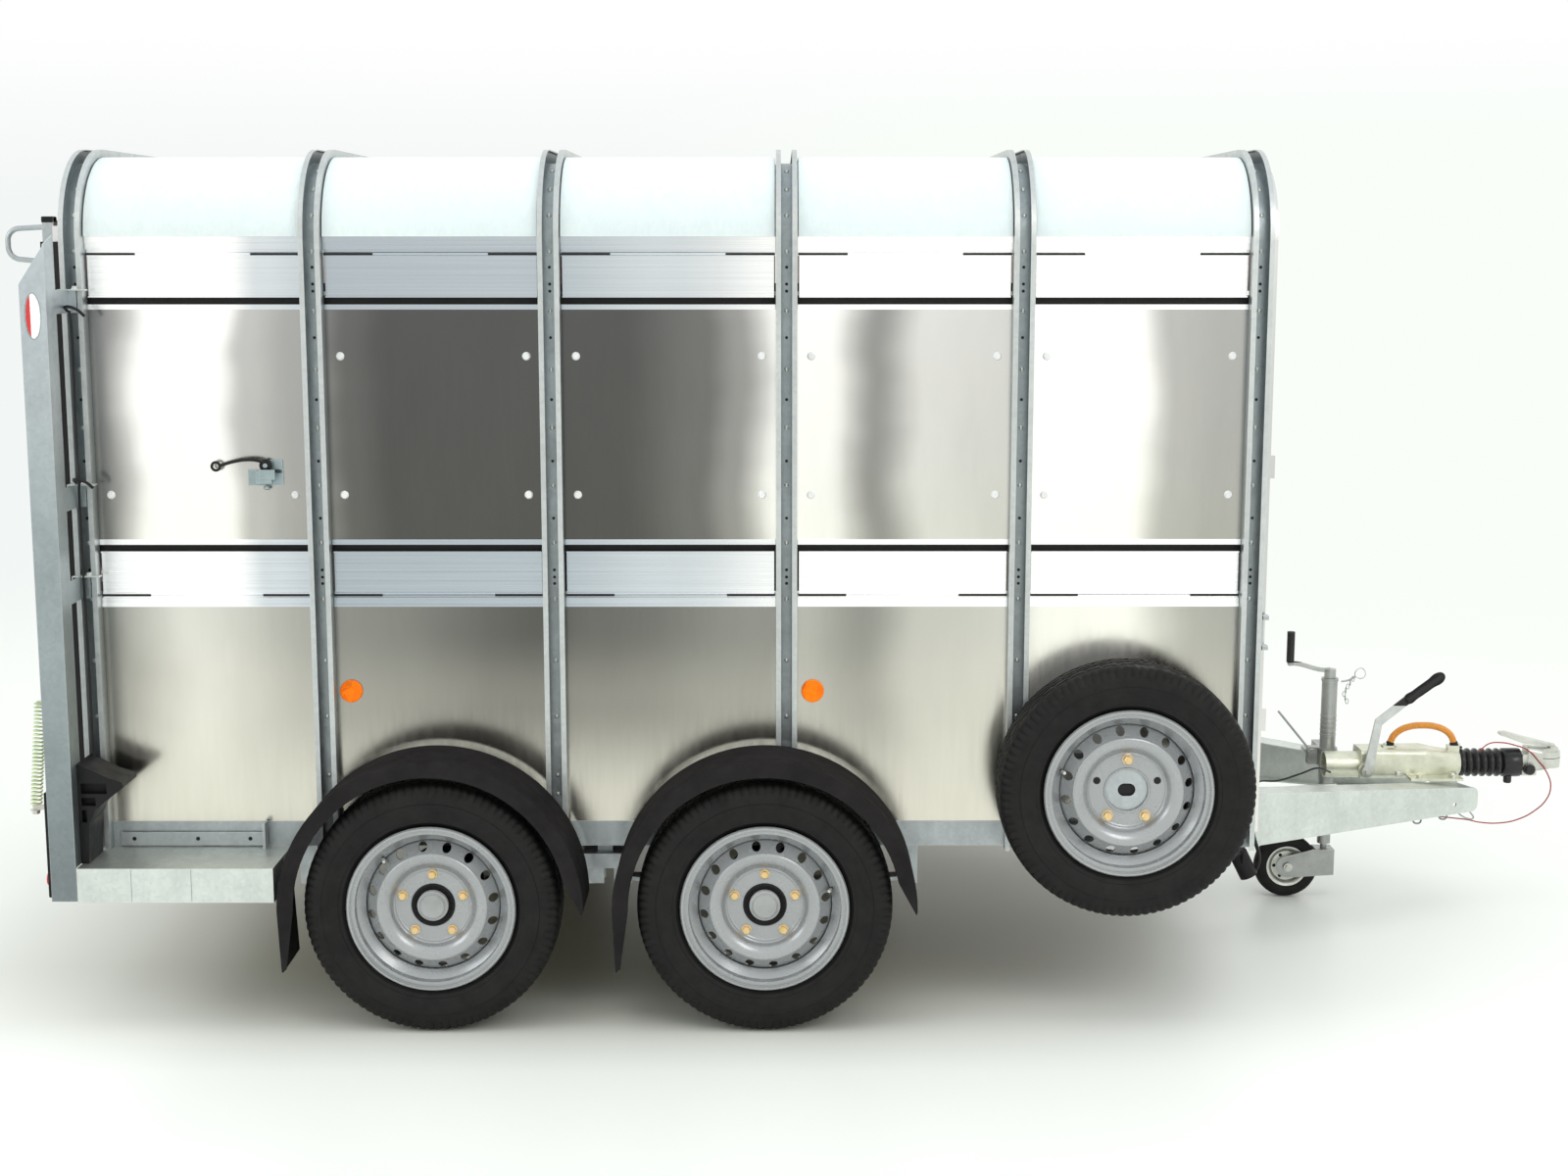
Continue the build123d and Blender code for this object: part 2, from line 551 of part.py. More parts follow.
with BuildPart() as side_reflectors:
    for x in REFLECTOR_X:
        with BuildSketch(Plane(origin=(x, PANEL_Y, 868), z_dir=(0, 1, 0))):
            Circle(30)
        extrude(amount=8)
    both_sides()
    chamfer(side_reflectors.edges().filter_by(GeomType.CIRCLE).filter_by(
        lambda e: abs(e.center().Y) > PANEL_Y + 4), 2)
write(side_reflectors, "side_reflectors")

SCREW_SPREAD = 241
SCREW_Z = (1391, 1752)

with BuildPart() as panel_screws:
    for bay, x in enumerate(bay_centres()):
        for z in SCREW_Z[:1] if bay == 0 else SCREW_Z:
            for dx in (-SCREW_SPREAD, SCREW_SPREAD):
                with BuildSketch(Plane(origin=(x + dx, PANEL_Y, z), z_dir=(0, 1, 0))):
                    Circle(11)
                extrude(amount=5, taper=30)
    both_sides()
write(panel_screws, "panel_screws")

LATCH_X = -869
LATCH_Z = 1446

with BuildPart() as side_latch:
    # bracket on the side wall that guides the spring bolt of the inner gate
    block(LATCH_X - 46, LATCH_X + 46, -PANEL_Y - 4, -PANEL_Y, LATCH_Z - 30, LATCH_Z + 12)
    block(LATCH_X - 20, LATCH_X + 20, -PANEL_Y - 30, -PANEL_Y - 4, LATCH_Z - 22, LATCH_Z + 10)
    block(LATCH_X - 12, LATCH_X + 12, -PANEL_Y - 31, -PANEL_Y - 3, LATCH_Z - 12, LATCH_Z + 6,
          mode=Mode.SUBTRACT)
write(side_latch, "side_latch")

with BuildPart() as side_latch_bolt:
    block(LATCH_X - 11.5, LATCH_X + 11.5, -PANEL_Y - 34, -PANEL_Y - 6, LATCH_Z - 11, LATCH_Z + 5)
    block(LATCH_X - 11.5, LATCH_X + 30, -PANEL_Y - 35, -PANEL_Y - 31, LATCH_Z - 11, LATCH_Z + 14)
write(side_latch_bolt, "side_latch_bolt")

# ---- Running gear -------------------------------------------------------------------------
AXLE_TUBE = 60
BACKPLATE_R = 108
DRUM_R = 104
HUB_FLANGE_R = 95
HUB_INNER = -146  # inboard end of the brake drum, from the tyre centre plane
MOUNT_FACE = 31  # back of the wheel disc, from the tyre centre plane
DISC_T = 4

with BuildPart() as axle_beams:
    for x in (AXLE_X, -AXLE_X):
        block(x - AXLE_TUBE / 2, x + AXLE_TUBE / 2, -884, 884,
              TYRE_R - AXLE_TUBE / 2, TYRE_R + AXLE_TUBE / 2)
        for side in (1, -1):
            # backplate and spindle
            rod((x, side * 880, TYRE_R), (x, side * 890, TYRE_R), BACKPLATE_R)
            rod((x, side * 890, TYRE_R), (x, side * (WHEEL_Y + 24), TYRE_R), SPINDLE_R)
            # spring seat under the beam
            y = side * CHASSIS_Y
            block(x - 45, x + 45, y - 30, y + 30, TYRE_R - AXLE_TUBE / 2 - 8, TYRE_R - AXLE_TUBE / 2)
write(axle_beams, "axle_beams")

LEAF_TOP = TYRE_R - AXLE_TUBE / 2 - 8.5

with BuildPart() as leaf_springs:
    for side in (1, -1):
        for x in (AXLE_X, -AXLE_X):
            with BuildSketch(Plane(origin=(x, side * CHASSIS_Y + SPRING_W / 2, 0), x_dir=(1, 0, 0),
                                   z_dir=(0, -1, 0))):
                for half, top in ((SPRING_HALF, LEAF_TOP), (SPRING_HALF * 0.72, LEAF_TOP - 11)):
                    rise = (SPRING_EYE_Z - 8 - LEAF_TOP) * (half / SPRING_HALF) ** 2
                    with BuildLine():
                        ThreePointArc((-half, top + rise), (0, top), (half, top + rise))
                        Line((half, top + rise), (half, top + rise - 10))
                        ThreePointArc((half, top + rise - 10), (0, top - 10), (-half, top + rise - 10))
                        Line((-half, top + rise - 10), (-half, top + rise))
                    make_face()
            extrude(amount=SPRING_W)
            # eyes with their bolts
            for end in (SPRING_HALF, -SPRING_HALF):
                y = side * CHASSIS_Y
                rod((x + end, y - 25, SPRING_EYE_Z - 8), (x + end, y + 25, SPRING_EYE_Z - 8), 16)
            # clamp plate and U-bolts round the axle
            y = side * CHASSIS_Y
            block(x - 45, x + 45, y - 42, y + 42, LEAF_TOP - 31, LEAF_TOP - 21)
            for dx in (-36, 36):
                for dy in (-36, 36):
                    rod((x + dx, y + dy, LEAF_TOP - 40), (x + dx, y + dy, TYRE_R + AXLE_TUBE / 2 + 12), 5)
                bow_z = TYRE_R + AXLE_TUBE / 2 + 7
                rod((x + dx, y - 36, bow_z), (x + dx, y + 36, bow_z), 5)
write(leaf_springs, "leaf_springs")


def tyre_at(x, y, z):
    """175/75 R16 tyre as a hollow ring with three tread grooves."""
    with BuildPart() as tyre:
        with BuildSketch(wheel_plane(x, y, z)):
            with BuildLine():
                Polyline((48, 203.2), (65.8, 203.2), (65.8, 219.5), (70, 221.5))
                ThreePointArc((70, 221.5), (87.5, 272), (77, 321))
                ThreePointArc((77, 321), (72, 329), (62, 331.5))
                Line((62, 331.5), (0, TYRE_R))
                Line((0, TYRE_R), (0, 322))
                Line((0, 322), (60, 319))
                ThreePointArc((60, 319), (79, 272), (52, 225))
                Line((52, 225), (48, 203.2))
            make_face()
            mirror(about=Plane.YZ)
            with Locations((-36, TYRE_R), (0, TYRE_R), (36, TYRE_R)):
                Rectangle(7, 16, mode=Mode.SUBTRACT)
        revolve(axis=Axis((x, y, z), (0, 1, 0)))
    return tyre


VENT_COUNT = 16
VENT_PCR = 160


def rim_at(x, y, z):
    """16 inch pressed steel wheel: rolled barrel and dished disc with round vent holes."""
    outward = 1 if y > 0 else -1
    with BuildPart() as rim:
        with BuildSketch(wheel_plane(x, y, z)):
            with BuildLine():
                Polyline((30, 180), (48, 201), (66, 203), (66, 212), (69, 218), (75, RIM_R), (79.5, 217),
                         (80, 212), (76.5, 212), (75, 216), (71, 214.5), (70, 211), (70, 199), (50, 197.5),
                         (32, 176), (-16, 176), (-36, 197.5), (-70, 199), (-70, 211), (-71, 214.5),
                         (-75, 216), (-76.5, 212), (-80, 212), (-79.5, 217), (-75, RIM_R), (-69, 218),
                         (-66, 212), (-66, 203), (-34, 201), (-14, 180), close=True)
            make_face()
            with BuildLine():
                Line((35, 57), (35, 96))
                ThreePointArc((35, 96), (37, 102), (42, 106))
                ThreePointArc((42, 106), (56, 118), (62, 134))
                ThreePointArc((62, 134), (62, 141), (57, 146))
                Line((57, 146), (30, 172))
                ThreePointArc((30, 172), (22, 175.5), (10, 176.5))
                Line((10, 176.5), (10, 172.5))
                ThreePointArc((10, 172.5), (20, 171.5), (27, 168.5))
                Line((27, 168.5), (54, 142.5))
                ThreePointArc((54, 142.5), (58, 139), (58, 134.5))
                ThreePointArc((58, 134.5), (52, 120), (40, 109.5))
                ThreePointArc((40, 109.5), (33, 105), (31, 96))
                Line((31, 96), (31, 57))
                Line((31, 57), (35, 57))
            make_face()
        revolve(axis=Axis((x, y, z), (0, 1, 0)))
        with BuildSketch(Plane(origin=(x, y, z), x_dir=(1, 0, 0), z_dir=(0, outward, 0))):
            with PolarLocations(BOLT_PCD / 2, BOLT_COUNT, start_angle=18):
                Circle(8)
            with PolarLocations(VENT_PCR, VENT_COUNT, start_angle=8):
                Circle(11.5)
        extrude(amount=70, mode=Mode.SUBTRACT)
    return rim


CAP_R = 40
BOLT_R = 6.9
BOLT_AF = 19


def hub_at(x, y, z):
    """Brake drum and hub with its grease cap and wheel bolts."""
    outward = 1 if y > 0 else -1
    with BuildPart() as hub:
        with BuildSketch(wheel_plane(x, y, z)):
            with BuildLine():
                bore = SPINDLE_R + RUNNING
                Polyline((HUB_INNER, DRUM_R - 10), (HUB_INNER, DRUM_R), (-66, DRUM_R), (-60, DRUM_R - 6),
                         (-60, 46), (19, 44), (19, HUB_FLANGE_R), (MOUNT_FACE, HUB_FLANGE_R),
                         (MOUNT_FACE, 37), (26, 37), (26, bore), (-68, bore), (-68, DRUM_R - 10), close=True)
            make_face()
        revolve(axis=Axis((x, y, z), (0, 1, 0)))
        with BuildSketch(Plane(origin=(x, y, z), x_dir=(1, 0, 0), z_dir=(0, outward, 0))):
            with PolarLocations(BOLT_PCD / 2, BOLT_COUNT, start_angle=18):
                Circle(7)
        extrude(amount=40, mode=Mode.SUBTRACT)
        # grease cap
        with BuildSketch(wheel_plane(x, y, z)):
            with BuildLine():
                Line((MOUNT_FACE + 0.05, 0), (MOUNT_FACE + 0.05, CAP_R))
                Line((MOUNT_FACE + 0.05, CAP_R), (MOUNT_FACE + 16, CAP_R))
                ThreePointArc((MOUNT_FACE + 16, CAP_R), (MOUNT_FACE + 22, CAP_R - 3),
                              (MOUNT_FACE + 24, CAP_R - 10))
                Line((MOUNT_FACE + 24, CAP_R - 10), (MOUNT_FACE + 25, 0))
                Line((MOUNT_FACE + 25, 0), (MOUNT_FACE + 0.05, 0))
            make_face()
        revolve(axis=Axis((x, y, z), (0, 1, 0)))
        # wheel bolts
        face = y + outward * (MOUNT_FACE + DISC_T + 0.02)
        with BuildSketch(Plane(origin=(x, face, z), x_dir=(1, 0, 0), z_dir=(0, outward, 0))):
            with PolarLocations(BOLT_PCD / 2, BOLT_COUNT, start_angle=18):
                Circle(12.5)
        extrude(amount=4)
        with BuildSketch(Plane(origin=(x, face, z), x_dir=(1, 0, 0), z_dir=(0, outward, 0))):
            with PolarLocations(BOLT_PCD / 2, BOLT_COUNT, start_angle=18):
                RegularPolygon(BOLT_AF / 2, 6, major_radius=False)
        extrude(amount=14)
        with BuildSketch(Plane(origin=(x, face, z), x_dir=(1, 0, 0), z_dir=(0, outward, 0))):
            with PolarLocations(BOLT_PCD / 2, BOLT_COUNT, start_angle=18):
                Circle(BOLT_R)
        extrude(amount=-28)
    return hub


for name, x, y in (("rear_right", -AXLE_X, -WHEEL_Y), ("front_right", AXLE_X, -WHEEL_Y),
                   ("rear_left", -AXLE_X, WHEEL_Y), ("front_left", AXLE_X, WHEEL_Y)):
    write(tyre_at(x, y, TYRE_R), f"tyre_{name}")
    write(rim_at(x, y, TYRE_R), f"wheel_rim_{name}")
    write(hub_at(x, y, TYRE_R), f"wheel_hub_{name}")

write(tyre_at(SPARE_X, -SPARE_Y, SPARE_Z), "spare_tyre")
write(rim_at(SPARE_X, -SPARE_Y, SPARE_Z), "spare_wheel_rim")

with BuildPart() as spare_wheel_carrier:
    # plate across the back of the disc, on a post from the side wall
    mount_y = -SPARE_Y - MOUNT_FACE
    with BuildSketch(Plane(origin=(SPARE_X, mount_y, SPARE_Z), x_dir=(1, 0, 0), z_dir=(0, 1, 0))):
        Circle(HUB_FLANGE_R)
        SlotOverall(46, 34, mode=Mode.SUBTRACT)
    extrude(amount=5)
    for dx in (-50, 50):
        block(SPARE_X + dx - 15, SPARE_X + dx + 15, mount_y + 5, -PANEL_Y, SPARE_Z - 40, SPARE_Z - 10)
    block(SPARE_X - 120, SPARE_X + 120, -PANEL_Y - 4, -PANEL_Y, SPARE_Z - 80, SPARE_Z + 60)
    face = mount_y - DISC_T - 0.02
    for turn in (90, 234, 306):
        px = SPARE_X + BOLT_PCD / 2 * cos(radians(turn))
        pz = SPARE_Z + BOLT_PCD / 2 * sin(radians(turn))
        rod((px, face, pz), (px, face - 4, pz), 12.5)
        with BuildSketch(Plane(origin=(px, face, pz), x_dir=(1, 0, 0), z_dir=(0, -1, 0))):
            RegularPolygon(BOLT_AF / 2, 6, major_radius=False)
        extrude(amount=14)
        rod((px, face - 1, pz), (px, mount_y + 4, pz), BOLT_R)
write(spare_wheel_carrier, "spare_wheel_carrier")

# ---- Drawbar ------------------------------------------------------------------------------
bar_angle = atan2(BAR_Y0 - BAR_Y1, BAR_X1 - BAR_X0)
bar_length = hypot(BAR_Y0 - BAR_Y1, BAR_X1 - BAR_X0)
BAR_ROOT_TOP = 478
BAR_NOSE_TOP = 397
BAR_NOSE_Z = 324
BAR_WEB = 5
FLANGE_W = 80
CHAIN_HOLE_R = 6.5
CHAIN_HOLE_BACK = 90
CHAIN_HOLE_Z = 352

flange_end = bar_length - 30
flange_z = BAR_Z + (BAR_NOSE_Z - BAR_Z) * flange_end / bar_length
bar_plane = Plane(origin=(BAR_X0, -BAR_Y0, 0), x_dir=(cos(bar_angle), sin(bar_angle), 0),
                  z_dir=(sin(bar_angle), -cos(bar_angle), 0))

with BuildPart() as drawbar_rails:
    with BuildSketch(bar_plane) as web:
        with BuildLine():
            Polyline((0, BAR_Z), (bar_length, BAR_NOSE_Z), (bar_length, BAR_NOSE_TOP), (0, BAR_ROOT_TOP),
                     close=True)
        make_face()
        fillet(web.vertices().group_by(Axis.X)[-1], 22)
    extrude(amount=-BAR_WEB)
    with BuildSketch(bar_plane):
        with BuildLine():
            Polyline((0, BAR_ROOT_TOP - BAR_WEB), (bar_length - 22, BAR_NOSE_TOP - BAR_WEB + 1.9),
                     (bar_length - 22, BAR_NOSE_TOP + 1.9), (0, BAR_ROOT_TOP), close=True)
        make_face()
    extrude(amount=-FLANGE_W)
    with BuildSketch(bar_plane):
        with BuildLine():
            Polyline((0, BAR_Z), (flange_end, flange_z), (flange_end, flange_z + BAR_WEB),
                     (0, BAR_Z + BAR_WEB), close=True)
        make_face()
    extrude(amount=-45)
    # safety chain hole near the nose
    with BuildSketch(bar_plane):
        with Locations((bar_length - CHAIN_HOLE_BACK, CHAIN_HOLE_Z)):
            Circle(CHAIN_HOLE_R)
    extrude(amount=-BAR_WEB, mode=Mode.SUBTRACT)
    # trim the roots square against the front cross beam
    block(BAR_X0 - 200, BAR_X0 - 2, -900, 900, 200, 600, mode=Mode.SUBTRACT)
    both_sides()
write(drawbar_rails, "drawbar_rails")

# ---- Overrun coupling ---------------------------------------------------------------------
SHAFT_R = 25
HOUSING_X0 = 2158
HOUSING_NOSE = 2574

with BuildPart() as coupling_housing:
    # open rear tube
    rod((HOUSING_X0, 0, COUPLING_Z - 6), (2330, 0, COUPLING_Z - 6), 41)
    # cast body that narrows to the round nose
    with BuildSketch(arch_plane(2262)):
        with Locations((0, 456)):
            RectangleRounded(104, 90, 14)
    with BuildSketch(arch_plane(2460)):
        with Locations((0, 458)):
            RectangleRounded(112, 92, 20)
    loft()
    with BuildSketch(arch_plane(2460)):
        with Locations((0, 458)):
            RectangleRounded(112, 92, 20)
    with BuildSketch(arch_plane(HOUSING_NOSE)):
        with Locations((0, COUPLING_Z)):
            Circle(38)
    loft()
    # saddle that bolts down on the rails' top flanges
    block(2402, 2562, -104, 104, 417, 425)
    for x in (2430, 2534):
        for y in (-92, 92):
            rod((x, y, 424), (x, y, 434), 9)
    rod((HOUSING_X0 - 1, 0, COUPLING_Z - 6), (2325, 0, COUPLING_Z - 6), 35, mode=Mode.SUBTRACT)
    rod((2324, 0, COUPLING_Z), (HOUSING_NOSE + 1, 0, COUPLING_Z), SHAFT_R + RUNNING, mode=Mode.SUBTRACT)
    # ends of the rope handle
    for x0, x1 in ((2338, 2374), (2540, 2574)):
        block(x0, x1, -14, 14, 480, 507)
    rod((2550, 0, 452), (2600, 0, 452), SHAFT_R + 3, mode=Mode.SUBTRACT)
    # pivot boss for the handbrake lever
    rod((2274, -50, 440), (2274, -66, 440), 22)
    rod((2274, -66, 440), (2274, -90, 440), 7)
write(coupling_housing, "coupling_housing")

with BuildPart() as rope_handle:
    with BuildLine() as rope_path:
        Spline((2362, 0, 513), (2396, 0, 556), (2461, 0, 577), (2526, 0, 556), (2562, 0, 513))
    with BuildSketch(Plane(origin=rope_path.line @ 0, z_dir=rope_path.line % 0)):
        Circle(10)
    sweep(path=rope_path.line)
write(rope_handle, "rope_handle")

OVERRUN = 85
BELLOWS_R = 44
CUP_R = 43
CUP_TOP_Z = 491
SOCKET_R = 25.4  # for a 50 mm ball
PIVOT_X = 2866  # latch lever hinge
PIVOT_Z = 497
PIN_R = 4

with BuildPart() as coupling_head:
    # sliding shaft
    rod((2300 + OVERRUN, 0, COUPLING_Z), (HEAD_X + 20, 0, COUPLING_Z), SHAFT_R)
    # cast neck, widening into the cup over the ball
    block(HEAD_X, HEAD_X + 44, -27, 27, COUPLING_Z - 36, COUPLING_Z + 30)
    with BuildSketch(arch_plane(HEAD_X + 16)):
        with Locations((0, COUPLING_Z + 12)):
            RectangleRounded(60, 80, 12)
    with BuildSketch(arch_plane(BALL_X)):
        with Locations((0, BALL_Z + 6)):
            RectangleRounded(84, 60, 18)
    loft()
    rod((BALL_X, 0, BALL_Z - 18), (BALL_X, 0, CUP_TOP_Z), CUP_R)
    rod((BALL_X, 0, CUP_TOP_Z), (BALL_X, 0, CUP_TOP_Z + 9), CUP_R - 6)
    # ball socket, open below
    with Locations((BALL_X, 0, BALL_Z)):
        Sphere(SOCKET_R, mode=Mode.SUBTRACT)
    rod((BALL_X, 0, BALL_Z - 60), (BALL_X, 0, BALL_Z), SOCKET_R, mode=Mode.SUBTRACT)
    # slot and cheeks for the latch lever's hub
    block(PIVOT_X - 13, PIVOT_X + 13, -9, 9, PIVOT_Z - 11, PIVOT_Z + 20, mode=Mode.SUBTRACT)
    for y in (-16, 10):
        block(PIVOT_X - 11, PIVOT_X + 11, y, y + 6, CUP_TOP_Z - 4, PIVOT_Z + 7)
    rod((PIVOT_X, -18, PIVOT_Z), (PIVOT_X, 18, PIVOT_Z), PIN_R)
write(coupling_head, "coupling_head")

with BuildPart() as coupling_lever:
    # latch handle, hinged at the front of the cup and lying back over the bellows
    rod((PIVOT_X, -8, PIVOT_Z), (PIVOT_X, 8, PIVOT_Z), 9)
    with BuildSketch(Plane(origin=(0, 8, 0), x_dir=(1, 0, 0), z_dir=(0, -1, 0))):
        with BuildLine():
            Polyline((PIVOT_X, PIVOT_Z + 4), (PIVOT_X + 8, PIVOT_Z + 4), (PIVOT_X + 5, PIVOT_Z + 14),
                     (PIVOT_X - 40, PIVOT_Z + 22), (PIVOT_X - 40, PIVOT_Z + 12), close=True)
        make_face()
    extrude(amount=16)
    with BuildSketch(Plane(origin=(0, 17, 0), x_dir=(1, 0, 0), z_dir=(0, -1, 0))):
        with BuildLine():
            Polyline((PIVOT_X - 20, PIVOT_Z + 9), (PIVOT_X - 20, PIVOT_Z + 18), (HEAD_X + 8, 533),
                     (HEAD_X - 48, 549), (HEAD_X - 66, 548), (HEAD_X - 69, 540), (HEAD_X - 52, 535),
                     (HEAD_X + 4, 514), close=True)
        make_face()
    extrude(amount=34)
    rod((PIVOT_X, -9, PIVOT_Z), (PIVOT_X, 9, PIVOT_Z), PIN_R + RUNNING, mode=Mode.SUBTRACT)
write(coupling_lever, "coupling_lever")

CONVOLUTIONS = 5

with BuildPart() as coupling_bellows:
    with BuildSketch(Plane(origin=(HOUSING_NOSE + 2, 0, COUPLING_Z), x_dir=(1, 0, 0), z_dir=(0, -1, 0))):
        with BuildLine():
            pitch = 24
            Line((0, 31), (0, 39))
            for i in range(CONVOLUTIONS):
                ThreePointArc((i * pitch, 39), ((i + 0.5) * pitch, BELLOWS_R), ((i + 1) * pitch, 39))
            Line((CONVOLUTIONS * pitch, 39), (CONVOLUTIONS * pitch + 8, 43))
            Line((CONVOLUTIONS * pitch + 8, 43), (HEAD_X - HOUSING_NOSE - 4, 43))
            Line((HEAD_X - HOUSING_NOSE - 4, 43), (HEAD_X - HOUSING_NOSE - 4, 31))
            Line((HEAD_X - HOUSING_NOSE - 4, 31), (0, 31))
        make_face()
    revolve(axis=Axis((HOUSING_NOSE, 0, COUPLING_Z), (1, 0, 0)))
write(coupling_bellows, "coupling_bellows")

LEVER_X = 2274
LEVER_Z = 440

with BuildPart() as handbrake_lever:
    with BuildSketch(Plane(origin=(0, -72, 0), x_dir=(1, 0, 0), z_dir=(0, -1, 0))) as lever_side:
        with BuildLine():
            Polyline((LEVER_X - 14, LEVER_Z - 4), (LEVER_X + 14, LEVER_Z - 14), (2312, 588), (2402, 662),
                     (2390, 684), (2292, 604), close=True)
        make_face()
        fillet(lever_side.vertices(), 5)
        with Locations((LEVER_X, LEVER_Z)):
            Circle(17)
            Circle(7 + RUNNING, mode=Mode.SUBTRACT)
    extrude(amount=10)
    # looped grip
    rod((2386, -77, 664), (2490, -77, 742), 11)
write(handbrake_lever, "handbrake_lever")

# ---- Jockey wheel -------------------------------------------------------------------------
TUBE_R = 24
INNER_R = 20.5
CLAMP_Z0 = 425
CLAMP_Z1 = 480

with BuildPart() as jockey_clamp:
    with BuildSketch(Plane.XY.offset(CLAMP_Z0)):
        with Locations((JOCKEY_X, JOCKEY_Y)):
            Circle(TUBE_R + 7)
        with Locations((JOCKEY_X, JOCKEY_Y + 66)):
            Rectangle(46, 84)
        with Locations((JOCKEY_X - 40, JOCKEY_Y + 14)):
            Rectangle(38, 30)
        with Locations((JOCKEY_X, JOCKEY_Y)):
            Circle(TUBE_R + RUNNING, mode=Mode.SUBTRACT)
    extrude(amount=CLAMP_Z1 - CLAMP_Z0)
    # foot on the left rail's top flange
    block(JOCKEY_X - 40, JOCKEY_X + 40, JOCKEY_Y + 100, JOCKEY_Y + 170, 438, 446)
    rod((JOCKEY_X - 50, JOCKEY_Y + 4, 466), (JOCKEY_X - 50, JOCKEY_Y - 26, 466), 6)
write(jockey_clamp, "jockey_clamp")

with BuildPart() as jockey_clamp_handle:
    # tommy bar and nut that tighten the clamp
    px = JOCKEY_X - 50
    py = JOCKEY_Y - 12
    rod((px, py, 466), (px, py - 12, 466), 13)
    rod((px, py + 1, 466), (px, py - 13, 466), 6 + RUNNING, mode=Mode.SUBTRACT)
    rod((px - 8, py - 6, 474), (px - 112, py - 6, 600), 3.5)
write(jockey_clamp_handle, "jockey_clamp_handle")

with BuildPart() as jockey_outer_tube:
    rod((JOCKEY_X, JOCKEY_Y, 285), (JOCKEY_X, JOCKEY_Y, 692), TUBE_R)
    rod((JOCKEY_X, JOCKEY_Y, 692), (JOCKEY_X, JOCKEY_Y, 702), TUBE_R + 2)
    for i in range(5):
        z = 520 + i * 15
        rod((JOCKEY_X, JOCKEY_Y, z), (JOCKEY_X, JOCKEY_Y, z + 5), TUBE_R + 1.2)
    rod((JOCKEY_X, JOCKEY_Y, 284), (JOCKEY_X, JOCKEY_Y, 690), INNER_R + RUNNING, mode=Mode.SUBTRACT)
    rod((JOCKEY_X, JOCKEY_Y, 689), (JOCKEY_X, JOCKEY_Y, 703), 8 + RUNNING, mode=Mode.SUBTRACT)
write(jockey_outer_tube, "jockey_outer_tube")

with BuildPart() as jockey_crank:
    rod((JOCKEY_X, JOCKEY_Y, 630), (JOCKEY_X, JOCKEY_Y, 704), 8)
    rod((JOCKEY_X, JOCKEY_Y, 702.5), (JOCKEY_X, JOCKEY_Y, 730), TUBE_R - 6)
    with BuildLine() as arm_path:
        Spline((JOCKEY_X, JOCKEY_Y, 729), (JOCKEY_X - 45, JOCKEY_Y, 731), (JOCKEY_X - 90, JOCKEY_Y, 744),
               (JOCKEY_X - 132, JOCKEY_Y, 746))
    with BuildSketch(Plane(origin=arm_path.line @ 0, z_dir=arm_path.line % 0)):
        RectangleRounded(14, 7, 2)
    sweep(path=arm_path.line)
    rod((JOCKEY_X - 126, JOCKEY_Y, 744), (JOCKEY_X - 126, JOCKEY_Y, 752), 9)
    rod((JOCKEY_X - 126, JOCKEY_Y, 752), (JOCKEY_X - 126, JOCKEY_Y, 848), 12)
write(jockey_crank, "jockey_crank")

FORK_T = 4
AXLE_PIN_R = 6

with BuildPart() as jockey_inner_tube:
    rod((JOCKEY_X, JOCKEY_Y, 172), (JOCKEY_X, JOCKEY_Y, 580), INNER_R)
    rod((JOCKEY_X, JOCKEY_Y, 171), (JOCKEY_X, JOCKEY_Y, 581), INNER_R - 3, mode=Mode.SUBTRACT)
    rod((JOCKEY_X, JOCKEY_Y, 172), (JOCKEY_X, JOCKEY_Y, 178), INNER_R)
    rod((JOCKEY_X, JOCKEY_Y, 140), (JOCKEY_X, JOCKEY_Y, 174), 10)
write(jockey_inner_tube, "jockey_inner_tube")

with BuildPart() as jockey_fork:
    # crown plate on the swivel pin and two side plates back to the wheel axle
    block(JOCKEY_X - 30, JOCKEY_X + 28, JOCKEY_Y - 31, JOCKEY_Y + 31, 150, 156)
    rod((JOCKEY_X, JOCKEY_Y, 149), (JOCKEY_X, JOCKEY_Y, 157), 10 + RUNNING, mode=Mode.SUBTRACT)
    for y in (JOCKEY_Y - 31, JOCKEY_Y + 31 - FORK_T):
        with BuildSketch(Plane(origin=(0, y, 0), x_dir=(1, 0, 0), z_dir=(0, -1, 0))) as fork_side:
            with BuildLine():
                Polyline((JOCKEY_X + 28, 156), (JOCKEY_X - 40, 156), (JOCKEY_WHEEL_X, 136),
                         (JOCKEY_WHEEL_X, 66), (JOCKEY_X + 28, 74), close=True)
            make_face()
            with Locations((JOCKEY_WHEEL_X, 101)):
                Circle(35)
        extrude(amount=-FORK_T)
    rod((JOCKEY_WHEEL_X, JOCKEY_Y - 36, JOCKEY_WHEEL_R), (JOCKEY_WHEEL_X, JOCKEY_Y + 36, JOCKEY_WHEEL_R),
        AXLE_PIN_R)
write(jockey_fork, "jockey_fork")

with BuildPart() as jockey_wheel:
    wheel_axis = Axis((JOCKEY_WHEEL_X, JOCKEY_Y, JOCKEY_WHEEL_R), (0, 1, 0))
    with BuildSketch(Plane(origin=(JOCKEY_WHEEL_X, JOCKEY_Y, JOCKEY_WHEEL_R), x_dir=(0, 1, 0),
                           z_dir=(1, 0, 0))):
        with BuildLine():
            Polyline((0, 6 + RUNNING), (24, 6 + RUNNING), (24, 18), (8, 22), (8, 50), (20, 56), (22, 66))
            ThreePointArc((22, 66), (24, 84), (12, 97))
            ThreePointArc((12, 97), (6, 99.2), (0, JOCKEY_WHEEL_R))
            Line((0, JOCKEY_WHEEL_R), (0, 6 + RUNNING))
        make_face()
        mirror(about=Plane.YZ)
    revolve(axis=wheel_axis)
write(jockey_wheel, "jockey_wheel")

